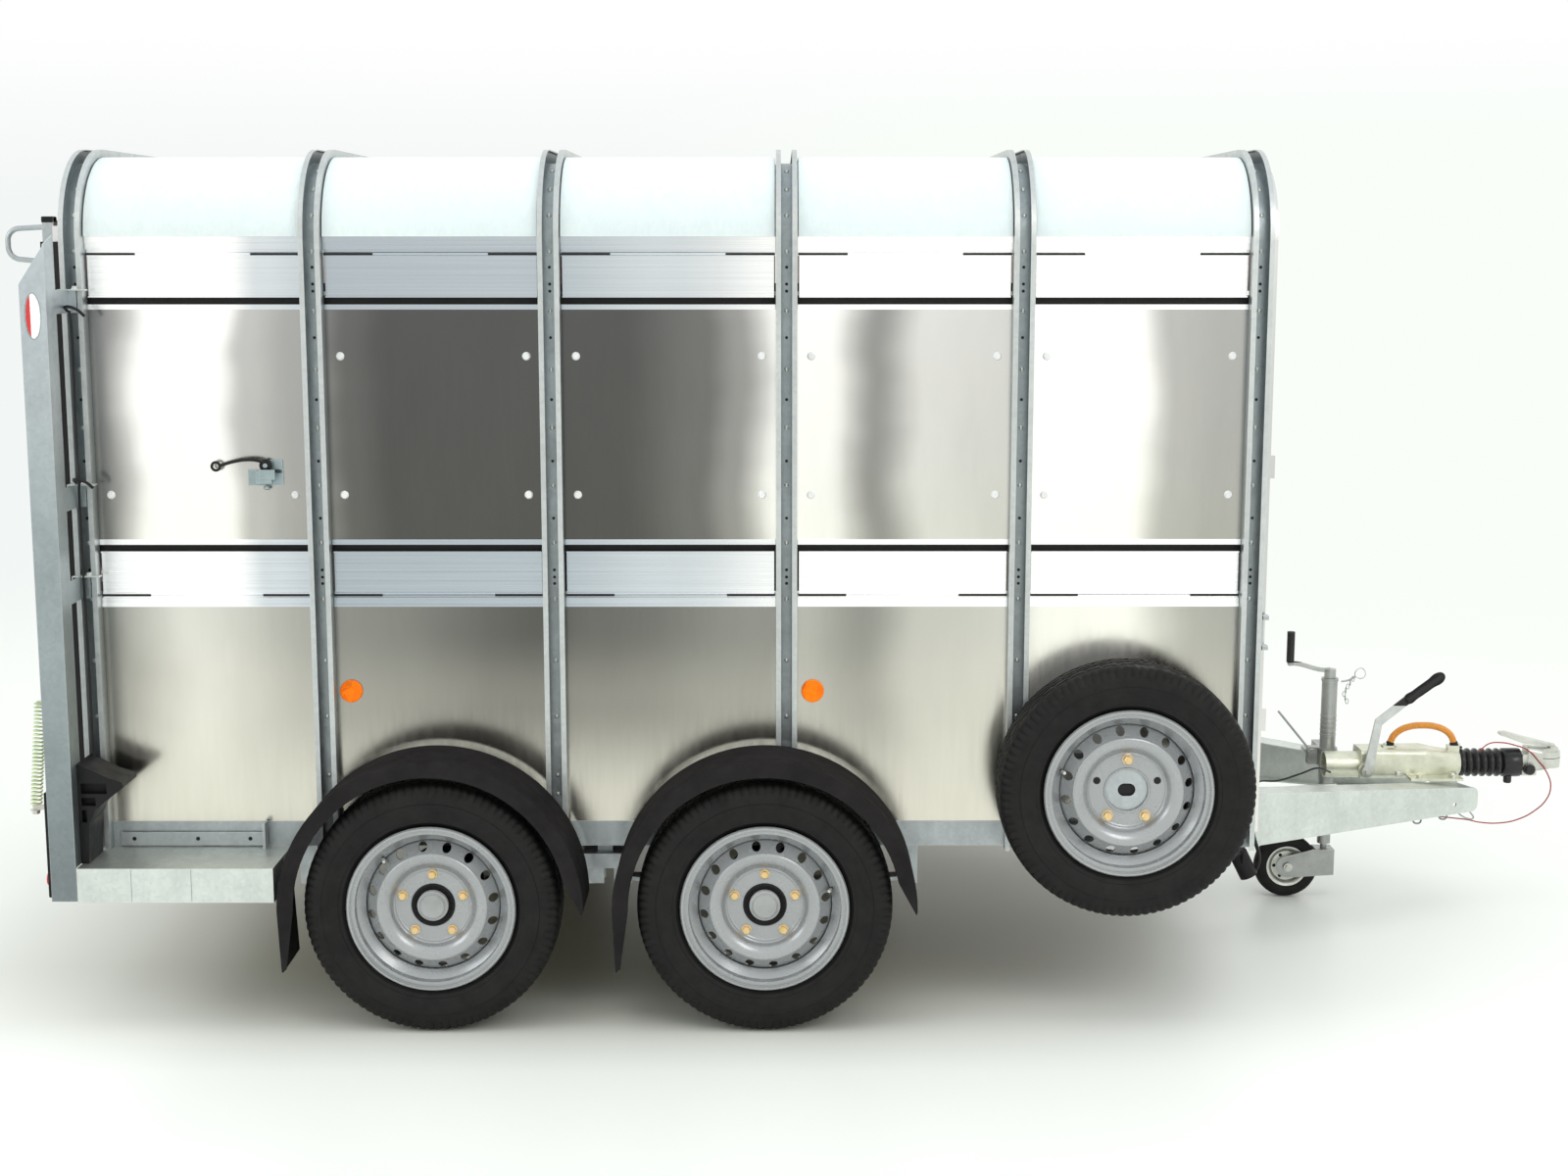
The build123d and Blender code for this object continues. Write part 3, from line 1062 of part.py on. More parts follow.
# ---- Electric plug ------------------------------------------------------------------------
with BuildPart() as electrical_plug:
    # plug hanging on a parking bracket below the front right corner of the body
    block(1776, 1782, -640, -560, 312, 470)
    with BuildSketch(Plane(origin=(1804, -600, 268), z_dir=(-0.45, 0, 0.9))):
        Circle(26)
    extrude(amount=74)
write(electrical_plug, "electrical_plug")
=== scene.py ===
"""Looks of the twin-axle livestock trailer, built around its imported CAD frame.

Frame: +X forward to the hitch, +Y left, +Z up, metres, origin on the ground between the axles.
"""

import math

import bmesh
import bpy
from mathutils import Matrix, Vector


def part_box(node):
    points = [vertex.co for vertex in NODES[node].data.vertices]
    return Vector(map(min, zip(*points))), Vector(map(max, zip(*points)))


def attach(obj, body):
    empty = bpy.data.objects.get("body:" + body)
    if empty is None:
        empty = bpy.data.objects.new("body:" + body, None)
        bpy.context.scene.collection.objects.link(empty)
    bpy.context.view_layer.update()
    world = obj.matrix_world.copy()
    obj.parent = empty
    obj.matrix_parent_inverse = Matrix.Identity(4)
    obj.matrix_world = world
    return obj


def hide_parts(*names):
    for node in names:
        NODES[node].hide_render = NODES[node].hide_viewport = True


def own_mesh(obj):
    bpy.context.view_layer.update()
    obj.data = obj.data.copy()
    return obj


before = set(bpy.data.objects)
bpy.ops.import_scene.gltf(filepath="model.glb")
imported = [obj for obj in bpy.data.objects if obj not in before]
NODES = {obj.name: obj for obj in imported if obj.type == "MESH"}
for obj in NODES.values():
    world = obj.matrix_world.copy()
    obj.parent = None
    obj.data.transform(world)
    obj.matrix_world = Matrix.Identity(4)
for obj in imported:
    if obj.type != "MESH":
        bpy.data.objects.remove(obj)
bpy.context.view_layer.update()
BODY = "trailer_body"
WHEELS = ("rear_right", "front_right", "rear_left", "front_left")
SIDES = ((-1, "right"), (1, "left"))


# ---- Material helpers ---------------------------------------------------------------------
class Graph:
    """A shader node tree and the small set of node recipes used on it."""

    def __init__(self, tree, coordinates):
        self.tree = tree
        self.coords = self.add("ShaderNodeTexCoord").outputs[coordinates]

    def add(self, kind, **settings):
        node = self.tree.nodes.new(kind)
        for key, value in settings.items():
            setattr(node, key, value)
        return node

    def link(self, source, target):
        self.tree.links.new(source, target)

    def plug(self, value, socket):
        """Set a socket from a number, a colour or another node's output."""
        if isinstance(value, bpy.types.NodeSocket):
            self.link(value, socket)
        elif isinstance(value, (tuple, list)) and len(socket.default_value) == 4 and len(value) == 3:
            socket.default_value = (*value, 1.0)
        else:
            socket.default_value = value

    def scaled(self, x, y, z):
        node = self.add("ShaderNodeMapping")
        node.inputs["Scale"].default_value = (x, y, z)
        self.link(self.coords, node.inputs["Vector"])
        return node.outputs["Vector"]

    def axis(self, letter):
        node = self.add("ShaderNodeSeparateXYZ")
        self.link(self.coords, node.inputs[0])
        return node.outputs[letter]

    def noise(self, scale, detail=4.0, rough=0.55, vector=None, distortion=0.0):
        node = self.add("ShaderNodeTexNoise")
        self.plug(vector or self.coords, node.inputs["Vector"])
        node.inputs["Scale"].default_value = scale
        node.inputs["Detail"].default_value = detail
        node.inputs["Roughness"].default_value = rough
        node.inputs["Distortion"].default_value = distortion
        return node.outputs["Fac"]

    def cells(self, scale, output="Color"):
        node = self.add("ShaderNodeTexVoronoi")
        self.link(self.coords, node.inputs["Vector"])
        node.inputs["Scale"].default_value = scale
        return node.outputs[output]

    def ramp(self, value, stops, ease="LINEAR"):
        """Colour ramp; each stop is (place, grey or colour)."""
        node = self.add("ShaderNodeValToRGB")
        node.color_ramp.interpolation = ease
        elements = node.color_ramp.elements
        while len(elements) < len(stops):
            elements.new(0.5)
        for element, (place, shade) in zip(elements, stops):
            element.position = place
            element.color = (*shade, 1.0) if isinstance(shade, tuple) else (shade, shade, shade, 1.0)
        self.link(value, node.inputs["Fac"])
        return node.outputs["Color"]

    def span(self, value, low, high, to_low=0.0, to_high=1.0):
        node = self.add("ShaderNodeMapRange")
        self.plug(value, node.inputs["Value"])
        for key, number in (("From Min", low), ("From Max", high), ("To Min", to_low), ("To Max", to_high)):
            node.inputs[key].default_value = number
        return node.outputs["Result"]

    def math(self, operation, a, b=0.0):
        node = self.add("ShaderNodeMath", operation=operation)
        self.plug(a, node.inputs[0])
        self.plug(b, node.inputs[1])
        return node.outputs[0]

    def mix(self, factor, a, b, blend="MIX"):
        node = self.add("ShaderNodeMix", data_type="RGBA", blend_type=blend)
        self.plug(factor, node.inputs[0])
        self.plug(a, node.inputs[6])
        self.plug(b, node.inputs[7])
        return node.outputs[2]


class Paint(Graph):
    """One procedural material."""

    def __init__(self, name, color=(0.5, 0.5, 0.5), metallic=0.0, roughness=0.5, **extra):
        self.material = bpy.data.materials.new(name)
        self.material.use_nodes = True
        super().__init__(self.material.node_tree, "Object")
        self.shader = self.tree.nodes["Principled BSDF"]
        self.set("Base Color", color)
        self.set("Metallic", metallic)
        self.set("Roughness", roughness)
        for key, value in extra.items():
            self.set(key.replace("_", " ").title().replace("Ior", "IOR"), value)

    def set(self, name, value):
        self.plug(value, self.shader.inputs[name])

    def bump(self, height, strength, distance):
        node = self.add("ShaderNodeBump")
        node.inputs["Strength"].default_value = strength
        node.inputs["Distance"].default_value = distance
        self.link(height, node.inputs["Height"])
        previous = self.shader.inputs["Normal"].links
        if previous:
            self.link(previous[0].from_socket, node.inputs["Normal"])
        self.link(node.outputs["Normal"], self.shader.inputs["Normal"])

    def edge_mask(self, radius=0.003):
        """White along sharp edges, black on flats."""
        bevel = self.add("ShaderNodeBevel", samples=4)
        bevel.inputs["Radius"].default_value = radius
        geometry = self.add("ShaderNodeNewGeometry")
        dot = self.add("ShaderNodeVectorMath", operation="DOT_PRODUCT")
        self.link(bevel.outputs[0], dot.inputs[0])
        self.link(geometry.outputs["Normal"], dot.inputs[1])
        return self.span(dot.outputs["Value"], 0.995, 0.85)


# ---- Materials ----------------------------------------------------------------------------
HOOP_HALF = 0.0275  # half a hoop's width along the body
BODY_X0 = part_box("body_hoops")[0][0] + HOOP_HALF
BODY_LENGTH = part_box("body_hoops")[1][0] - HOOP_HALF - BODY_X0
CORNER_Y, CORNER_Z = 0.715, 2.050  # centre of the hoops' rounded top corner


def galvanised(name="galvanised", shade=(0.44, 0.475, 0.49)):
    """Hot-dip zinc: fine soft spangle, faint milky blooms and brighter worn edges."""
    paint = Paint(name, metallic=0.88, roughness=0.40)
    tone = paint.ramp(paint.cells(95.0), ((0.0, 0.93), (1.0, 1.05)))
    bloom = paint.ramp(paint.noise(9.0, 6.0, 0.65), ((0.30, 0.92), (0.70, 1.06)))
    streak = paint.ramp(paint.noise(6.0, 5.0, 0.6, paint.scaled(3, 3, 0.35)), ((0.35, 0.95), (0.65, 1.03)))
    color = paint.mix(1.0, shade(paint) if callable(shade) else shade, tone, "MULTIPLY")
    color = paint.mix(1.0, color, bloom, "MULTIPLY")
    color = paint.mix(1.0, color, streak, "MULTIPLY")
    color = paint.mix(paint.math("MULTIPLY", paint.edge_mask(), 0.45), color, (0.78, 0.80, 0.81))
    paint.set("Base Color", color)
    paint.set("Roughness", paint.span(paint.noise(30.0, 5.0), 0.3, 0.7, 0.34, 0.48))
    paint.bump(paint.noise(190.0, 3.0), 0.06, 0.0005)
    return paint.material


def post_painted_shade(paint):
    """Zinc with painted shade that darkens towards the foot of the corner posts."""
    height = paint.span(paint.axis("Z"), 0.36, 1.94)
    tones = ((0.0, (0.21, 0.24, 0.25)), (0.45, (0.34, 0.385, 0.40)), (1.0, (0.52, 0.57, 0.60)))
    return paint.ramp(height, tones, "EASE")


def hoop_painted_light(paint):
    """Painted light on the hoops: a deep grey web in painted shade, darker towards the bottom, between lips
    with a painted highlight, told apart by the distance out from the hoop's middle line.
    """
    sideways = paint.math("ABSOLUTE", paint.axis("Y"))
    across = paint.math("MAXIMUM", paint.math("SUBTRACT", sideways, CORNER_Y), 0.0)
    above = paint.math("MAXIMUM", paint.math("SUBTRACT", paint.axis("Z"), CORNER_Z), 0.0)
    square = paint.math("ADD", paint.math("MULTIPLY", across, across), paint.math("MULTIPLY", above, above))
    lip = paint.span(paint.math("SQRT", square), 0.204, 0.228)
    height = paint.span(paint.axis("Z"), 0.5, 2.1)
    web = paint.ramp(height, ((0.0, (0.28, 0.30, 0.31)), (1.0, (0.36, 0.41, 0.43))))
    return paint.mix(lip, web, (0.56, 0.59, 0.59))


def sheet_aluminium(name, tones, tint, top, bottom, foot=0.0):
    """Bright rolled sheet with painted reflections: a tone in upright bands along the body, as if its buckles
    caught the light, a painted floor reflection towards its foot, a painted reflected tint up the sheet and a
    painted glow in its brightest bands.
    """
    paint = Paint(name, metallic=1.0, roughness=0.20)
    along = paint.span(paint.axis("X"), BODY_X0, BODY_X0 + BODY_LENGTH)
    waves = paint.noise(1.3, 3.0, 0.5, paint.scaled(1, 1, 1.8))
    wander = paint.math("MULTIPLY", paint.math("SUBTRACT", waves, 0.5), 0.045)
    # Painted reflections: bands of light and shade along the body, with wandering edges
    bands = paint.ramp(paint.math("ADD", along, wander), tones, "EASE")
    height = paint.span(paint.axis("Z"), bottom, top)
    # Painted floor reflection: the bands pale towards the sheet's foot, by the share given as foot
    floor_reflection = paint.ramp(height, ((0.05, foot), (0.55, foot * 0.25), (0.9, 0.0)), "EASE")
    bands = paint.mix(floor_reflection, bands, (0.70, 0.70, 0.70))
    # Painted reflected tint, multiplied in up the sheet
    color = paint.mix(1.0, bands, paint.ramp(height, tint, "EASE"), "MULTIPLY")
    # Painted glow in the brightest reflection bands
    paint.set("Emission Color", (1.0, 1.0, 0.98))
    paint.set("Emission Strength", paint.span(bands, 0.70, 1.0, 0.0, 0.14))
    fine = paint.ramp(paint.noise(900.0, 2.0, 0.6, paint.scaled(1, 1, 0.25)), ((0.3, 0.975), (0.7, 1.02)))
    cloud = paint.ramp(paint.noise(4.0, 5.0, 0.6, paint.scaled(1.6, 1, 0.5)), ((0.3, 0.96), (0.7, 1.03)))
    color = paint.mix(1.0, color, fine, "MULTIPLY")
    color = paint.mix(1.0, color, cloud, "MULTIPLY")
    paint.set("Base Color", color)
    brushed = paint.noise(60.0, 4.0, 0.6, paint.scaled(1, 1, 0.1))
    paint.set("Roughness", paint.span(brushed, 0.3, 0.7, 0.17, 0.24))
    paint.bump(paint.noise(2.2, 1.0), 0.12, 0.004)
    return paint.material


def extruded_aluminium():
    """Mill-finish extrusion with faint die lines that run along the trailer, painted reflection bands along
    the body and a painted glow in the brightest of them.
    """
    paint = Paint("aluminium_extrusion", metallic=0.95, roughness=0.24)
    lines = paint.noise(420.0, 2.0, 0.5, paint.scaled(0.004, 1, 1))
    along = paint.span(paint.axis("X"), BODY_X0, BODY_X0 + BODY_LENGTH)
    # Painted reflections: light and shade in bands along the body
    glow = paint.ramp(along, RAIL_REFLECTION_BANDS, "EASE")
    color = paint.mix(1.0, glow, paint.ramp(lines, ((0.3, 0.93), (0.7, 1.03))), "MULTIPLY")
    # Painted glow in the brightest reflection bands
    paint.set("Emission Color", (0.98, 0.99, 1.0))
    paint.set("Emission Strength", paint.span(glow, 0.78, 1.0, 0.0, 0.11))
    paint.set("Base Color", color)
    paint.set("Roughness", paint.span(lines, 0.3, 0.7, 0.20, 0.27))
    paint.bump(lines, 0.05, 0.0004)
    return paint.material


def zinc_plate(name, shade):
    """Pale zinc plate on castings and tubes."""
    paint = Paint(name, metallic=0.8, roughness=0.36)
    cloud = paint.ramp(paint.noise(18.0, 6.0, 0.65), ((0.28, 0.78), (0.72, 1.08)))
    color = paint.mix(1.0, shade, cloud, "MULTIPLY")
    color = paint.mix(paint.math("MULTIPLY", paint.edge_mask(0.002), 0.5), color, (0.95, 0.95, 0.94))
    paint.set("Base Color", color)
    paint.set("Roughness", paint.span(paint.noise(45.0, 4.0), 0.3, 0.7, 0.28, 0.48))
    paint.bump(paint.noise(240.0, 3.0), 0.12, 0.0004)
    return paint.material


def moulded(name, shade, roughness, grain=420.0, lift=1.35, gloss=0.22):
    """Moulded plastic or rubber with a fine grain and dusty high spots."""
    paint = Paint(name, roughness=roughness)
    paint.set("Specular IOR Level", gloss)
    dust = paint.ramp(paint.noise(9.0, 6.0, 0.7), ((0.35, 0.85), (0.70, lift)))
    paint.set("Base Color", paint.mix(1.0, shade, dust, "MULTIPLY"))
    paint.set("Roughness", paint.span(paint.noise(22.0, 4.0), 0.3, 0.7, roughness - 0.07, roughness + 0.09))
    paint.bump(paint.noise(grain, 2.0), 0.22, 0.0006)
    return paint.material


def wheel_enamel():
    """Silver-grey wheel enamel, slightly orange-peeled, dull with handling."""
    paint = Paint("wheel_paint", metallic=0.45, roughness=0.28, coat_weight=0.4, coat_roughness=0.12)
    cloud = paint.ramp(paint.noise(6.0, 3.0, 0.5), ((0.3, 0.96), (0.7, 1.03)))
    color = paint.mix(1.0, (0.36, 0.375, 0.385), cloud, "MULTIPLY")
    paint.set("Base Color", color)
    paint.set("Roughness", paint.span(paint.noise(20.0, 2.0), 0.3, 0.7, 0.24, 0.30))
    paint.bump(paint.noise(120.0, 1.0), 0.02, 0.0003)
    return paint.material


def roof_sheet():
    """Translucent white glass-fibre sheet with faint fibre marks."""
    paint = Paint("roof_sheet", roughness=0.38, subsurface_weight=0.2)
    fibre = paint.noise(55.0, 6.0, 0.75, paint.scaled(1, 0.4, 0.4), 1.2)
    cloud = paint.ramp(paint.noise(2.5, 3.0), ((0.3, (0.70, 0.725, 0.725)), (0.7, (0.76, 0.78, 0.77))))
    paint.set("Base Color", paint.mix(0.35, cloud, paint.ramp(fibre, ((0.35, 0.84), (0.6, 1.0))), "MULTIPLY"))
    paint.set("Roughness", paint.span(fibre, 0.3, 0.7, 0.32, 0.48))
    paint.bump(fibre, 0.12, 0.0008)
    return paint.material


def tyre_rubber():
    """Near-black rubber with a faint brownish bloom."""
    paint = Paint("tyre_rubber", roughness=0.60)
    paint.set("Specular IOR Level", 0.25)
    tones = ((0.35, (0.0045, 0.0045, 0.0045)), (0.75, (0.0105, 0.010, 0.0095)))
    paint.set("Base Color", paint.ramp(paint.noise(13.0, 6.0, 0.7), tones))
    paint.set("Roughness", paint.span(paint.noise(34.0, 4.0), 0.3, 0.7, 0.52, 0.72))
    paint.bump(paint.noise(350.0, 3.0), 0.20, 0.0006)
    return paint.material


def deck_boards():
    """Resin-faced boards, with grain along the trailer."""
    paint = Paint("deck_boards", roughness=0.55)
    grain = paint.noise(70.0, 6.0, 0.65, paint.scaled(0.08, 1, 0.3), 0.6)
    tone = paint.ramp(grain, ((0.3, 0.6), (0.7, 1.3)))
    paint.set("Base Color", paint.mix(1.0, (0.19, 0.13, 0.08), tone, "MULTIPLY"))
    paint.bump(grain, 0.3, 0.0012)
    return paint.material


def braided_rope():
    """Orange rope with fine fibres and lighter, fuzzy high spots."""
    paint = Paint("rope", roughness=0.8, sheen_weight=0.6)
    fibre = paint.noise(600.0, 3.0, 0.7, paint.scaled(0.35, 1, 1))
    tones = ((0.3, (0.42, 0.13, 0.010)), (0.55, (0.78, 0.30, 0.03)), (0.8, (0.90, 0.48, 0.12)))
    paint.set("Base Color", paint.ramp(fibre, tones))
    paint.bump(fibre, 0.5, 0.0012)
    return paint.material


def brass_plate():
    """Yellow passivated bolt heads with a rosy iridescence."""
    paint = Paint("bolt_plate", metallic=0.9, roughness=0.30)
    hues = ((0.3, (0.66, 0.50, 0.20)), (0.55, (0.78, 0.56, 0.28)), (0.75, (0.80, 0.50, 0.40)))
    paint.set("Base Color", paint.ramp(paint.noise(60.0, 3.0), hues))
    paint.bump(paint.noise(500.0, 2.0), 0.2, 0.0004)
    return paint.material


def split_by_height(name, level, lower, upper):
    """Two finishes on one CAD node, divided at a height: a metal part with a moulded grip."""
    paint = Paint(name)
    above = paint.math("GREATER_THAN", paint.axis("Z"), level)
    cloud = paint.ramp(paint.noise(40.0, 5.0), ((0.3, 0.85), (0.7, 1.1)))
    paint.set("Base Color", paint.mix(1.0, paint.mix(above, lower, upper), cloud, "MULTIPLY"))
    paint.set("Metallic", paint.math("SUBTRACT", 0.85, paint.math("MULTIPLY", above, 0.85)))
    paint.set("Roughness", paint.math("ADD", 0.34, paint.math("MULTIPLY", above, 0.2)))
    ribs = paint.math("MULTIPLY", paint.math("SINE", paint.math("MULTIPLY", paint.axis("Z"), 900.0)), above)
    paint.bump(ribs, 0.4, 0.001)
    paint.bump(paint.noise(220.0, 3.0), 0.12, 0.0005)
    return paint.material


# Painted reflections: tones of light and shade in bands along the body, from its rear (0) to its front (1)
UPPER_REFLECTION_BANDS = ((0.0, 0.20), (0.02, 0.34), (0.06, 1.0), (0.118, 1.0), (0.14, 0.60), (0.18, 0.44),
               (0.225, 0.15), (0.26, 0.11), (0.46, 0.11), (0.53, 0.19), (0.56, 0.34), (0.60, 0.95),
               (0.64, 0.92), (0.68, 0.34), (0.72, 0.75), (0.785, 0.70), (0.81, 1.0), (0.895, 1.0),
               (0.93, 0.53), (0.97, 0.48))
LOWER_REFLECTION_BANDS = ((0.0, 0.28), (0.09, 0.78), (0.19, 0.46), (0.21, 0.30), (0.39, 0.13), (0.43, 0.17),
               (0.585, 0.31), (0.61, 0.50), (0.67, 0.33), (0.72, 0.60), (0.785, 0.66), (0.82, 0.92),
               (0.88, 0.95), (0.95, 0.50), (0.98, 0.46))
RAIL_REFLECTION_BANDS = ((0.0, 1.0), (0.125, 1.0), (0.155, (0.72, 0.76, 0.80)), (0.195, (0.62, 0.67, 0.72)),
              (0.215, (0.47, 0.52, 0.57)), (0.40, (0.50, 0.55, 0.60)), (0.50, (0.66, 0.70, 0.74)),
              (0.62, 0.98), (1.0, 1.0))
# Painted reflected tints up each sheet, warmer towards its foot, from its foot (0) to its top (1)
UPPER_REFLECTED_TINT = ((0.0, (1.0, 0.975, 0.90)), (0.6, (1.0, 0.98, 0.95)), (1.0, (1.0, 0.985, 0.98)))
LOWER_REFLECTED_TINT = ((0.0, (1.0, 0.955, 0.84)), (0.55, (1.0, 0.965, 0.86)), (1.0, (0.98, 0.965, 0.88)))
END_REFLECTED_TINT = ((0.0, (1.0, 0.97, 0.93)), (0.5, (0.86, 0.86, 0.86)), (1.0, (0.97, 0.98, 1.0)))

galv = galvanised()
galv_dark = galvanised("galvanised_shadow", (0.20, 0.22, 0.23))
# Lighter copy of the zinc: painted light on the parts that catch it
galv_painted_light = galvanised("galvanised_bright", (0.66, 0.70, 0.67))
# Hoops: zinc with painted shade in the web and painted highlights on the lips
hoop_zinc_painted_light = galvanised("galvanised_hoop_painted_light", hoop_painted_light)
# Corner posts: zinc with painted shade towards their foot
post_zinc_painted_shade = galvanised("galvanised_post_painted_shade", post_painted_shade)
zinc = zinc_plate("zinc", (0.66, 0.67, 0.62))
zinc_cream = zinc_plate("zinc_cream", (0.74, 0.75, 0.62))
zinc_grey = zinc_plate("zinc_grey", (0.42, 0.43, 0.42))
latch_zinc = zinc_plate("zinc_latch", (0.36, 0.44, 0.46))
black_plastic = moulded("black_plastic", (0.008, 0.008, 0.0085), 0.42)
guard_plastic = moulded("guard_plastic", (0.019, 0.0175, 0.018), 0.75, 260.0, gloss=0.03)
black_steel = moulded("black_steel", (0.014, 0.0145, 0.016), 0.38, 120.0)
rubber = tyre_rubber()
bellows_rubber = moulded("bellows_rubber", (0.007, 0.007, 0.0075), 0.24, 500.0, gloss=0.5)
enamel = wheel_enamel()
hub_iron = moulded("hub_iron", (0.008, 0.008, 0.0085), 0.5, 300.0)
cap_plastic = moulded("cap_plastic", (0.36, 0.37, 0.37), 0.45, 500.0, 1.1)
screw_white = moulded("screw_white", (0.80, 0.81, 0.81), 0.32, 300.0, 1.05)
upper_sheet = sheet_aluminium("upper_sheet", UPPER_REFLECTION_BANDS, UPPER_REFLECTED_TINT, 1.88, 1.26)
lower_sheet = sheet_aluminium("lower_sheet", LOWER_REFLECTION_BANDS, LOWER_REFLECTED_TINT, 1.10, 0.51, 0.85)
end_sheet = sheet_aluminium("end_sheet", ((0.0, 0.74), (1.0, 0.74)), END_REFLECTED_TINT, 2.2, 0.5)
extrusion = extruded_aluminium()
roof = roof_sheet()
brass = brass_plate()
rope_orange = braided_rope()
cable_red = moulded("cable_red", (0.30, 0.035, 0.035), 0.4, 300.0)
cable_black = moulded("cable_black", (0.012, 0.012, 0.012), 0.4, 300.0)
deck = deck_boards()

FINISH = {
    galv: ("chassis_frame", "ramp_frame", "leaf_springs", "side_base_rails", "ramp_handles",
           "spare_wheel_carrier"),
    hoop_zinc_painted_light: ("body_hoops",),
    post_zinc_painted_shade: ("rear_pillars",),
    galv_painted_light: ("drawbar_rails", "rear_steps"),
    upper_sheet: ("upper_side_panels",),
    lower_sheet: ("lower_side_panels",),
    end_sheet: ("front_wall", "front_door", "ramp_panel"),
    extrusion: ("vent_rails", "upper_vent_flaps_right", "upper_vent_flaps_left",
                "lower_vent_flaps_right", "lower_vent_flaps_left", "ramp_battens"),
    deck: ("floor_deck",),
    roof: ("roof_skin",),
    black_steel: ("axle_beams",),
    black_plastic: ("wheel_chocks", "electrical_plug"),
    guard_plastic: ("mudguards",),
    screw_white: ("panel_screws",),
    zinc: ("coupling_head", "coupling_lever"),
    latch_zinc: ("side_latch", "side_latch_bolt"),
    zinc_cream: ("coupling_housing",),
    zinc_grey: ("jockey_clamp", "jockey_clamp_handle", "jockey_outer_tube", "jockey_inner_tube",
                "jockey_fork"),
    enamel: ("spare_wheel_rim", *(f"wheel_rim_{w}" for w in WHEELS)),
}


def repaint(node_name, finish):
    """Give a CAD node one finish."""
    materials = NODES[node_name].data.materials
    materials.clear()
    materials.append(finish)


for finish, names in FINISH.items():
    for node_name in names:
        repaint(node_name, finish)

BEVELS = {"rear_pillars": 0.0012, "rear_steps": 0.0012, "drawbar_rails": 0.0015, "wheel_chocks": 0.004,
          "mudguards": 0.0015, "coupling_housing": 0.003, "coupling_head": 0.003, "coupling_lever": 0.002,
          "side_latch": 0.001, "side_latch_bolt": 0.001, "ramp_frame": 0.002, "jockey_clamp": 0.002,
          "jockey_fork": 0.001}


def soften(obj, width, segments=2, angle=35):
    """Small bevel on an object's edges that are sharper than the angle in degrees."""
    modifier = obj.modifiers.new("edge", "BEVEL")
    modifier.width = width
    modifier.segments = segments
    modifier.limit_method = "ANGLE"
    modifier.angle_limit = math.radians(angle)


for node_name, width in BEVELS.items():
    soften(NODES[node_name], width, angle=40)


def piece(name, bm, body, paint, smooth=True, angle=40):
    """Object from a mesh in the making, with its material, its body and its shading."""
    mesh = bpy.data.meshes.new(name)
    bmesh.ops.recalc_face_normals(bm, faces=bm.faces)
    bm.to_mesh(mesh)
    bm.free()
    obj = bpy.data.objects.new(name, mesh)
    bpy.context.scene.collection.objects.link(obj)
    mesh.materials.append(paint)
    if smooth:
        for polygon in mesh.polygons:
            polygon.use_smooth = True
        mesh.set_sharp_from_angle(angle=math.radians(angle))
    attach(obj, body)
    return obj


def turned(direction):
    """Rotation that takes Z to a direction."""
    return Vector(direction).normalized().to_track_quat("Z", "Y").to_matrix().to_4x4()


def on_circle(radius, turns, height):
    """Point on a circle about Z, a number of turns on from X."""
    angle = 2 * math.pi * turns
    return Vector((radius * math.cos(angle), radius * math.sin(angle), height))


def around(radius, degrees, y=0.0):
    """Offset to a point on a circle seen from the side, counted from forward to up."""
    angle = math.radians(degrees)
    return Vector((radius * math.cos(angle), y, radius * math.sin(angle)))


def add_lathe(bm, profile, origin, direction, segments):
    """Turn a profile of (radius, distance along the axis) into bm."""
    place = Matrix.Translation(origin) @ turned(direction)
    rings = []
    for radius, along in profile:
        if radius < 1e-6:
            rings.append([bm.verts.new(place @ Vector((0, 0, along)))])
            continue
        rings.append([bm.verts.new(place @ on_circle(radius, i / segments, along)) for i in range(segments)])
    for a, b in zip(rings, rings[1:]):
        for i in range(segments):
            j = (i + 1) % segments
            corners = [a[i % len(a)], a[j % len(a)], b[j % len(b)], b[i % len(b)]]
            unique = list(dict.fromkeys(corners))
            if len(unique) > 2:
                bm.faces.new(unique)


def hole_shade_disc(radius, thickness=0.0006):
    """Profile of a thin dark disc that stands for an open hole: painted shade where the hole shows dark."""
    return (radius, 0), (radius, thickness), (0, thickness)


def add_slab(bm, low, high):
    """Rectangular plate between two corners."""
    verts = [bm.verts.new((x, y, z)) for x in (low[0], high[0]) for y in (low[1], high[1])
             for z in (low[2], high[2])]
    for a, b, c, d in ((0, 1, 3, 2), (4, 6, 7, 5), (0, 4, 5, 1), (2, 3, 7, 6), (0, 2, 6, 4), (1, 5, 7, 3)):
        bm.faces.new([verts[i] for i in (a, b, c, d)])


def lathe_piece(name, profile, origin, direction, segments, body, paint, smooth=True, angle=40):
    """Piece made by one turned profile."""
    bm = bmesh.new()
    add_lathe(bm, profile, origin, direction, segments)
    return piece(name, bm, body, paint, smooth, angle)


def add_hex_bolt(bm, origin, direction, across, height, washer=0.0):
    """Chamfered hexagon head, on a washer of the given radius if there is one."""
    if washer:
        flat = ((0, 0), (washer, 0), (washer, 0.002), (washer * 0.9, 0.0026), (0, 0.0026))
        add_lathe(bm, flat, origin, direction, 20)
    place = Matrix.Translation(origin) @ turned(direction)
    corner = across / 2 / math.cos(math.pi / 6)
    rings = []
    for radius, along in ((corner, 0.002), (corner, height - 0.0015), (corner * 0.86, height)):
        rings.append([bm.verts.new(place @ on_circle(radius, i / 6, along)) for i in range(6)])
    for a, b in zip(rings, rings[1:]):
        for i in range(6):
            bm.faces.new((a[i], a[(i + 1) % 6], b[(i + 1) % 6], b[i]))
    bm.faces.new(rings[0])
    bm.faces.new(rings[-1])


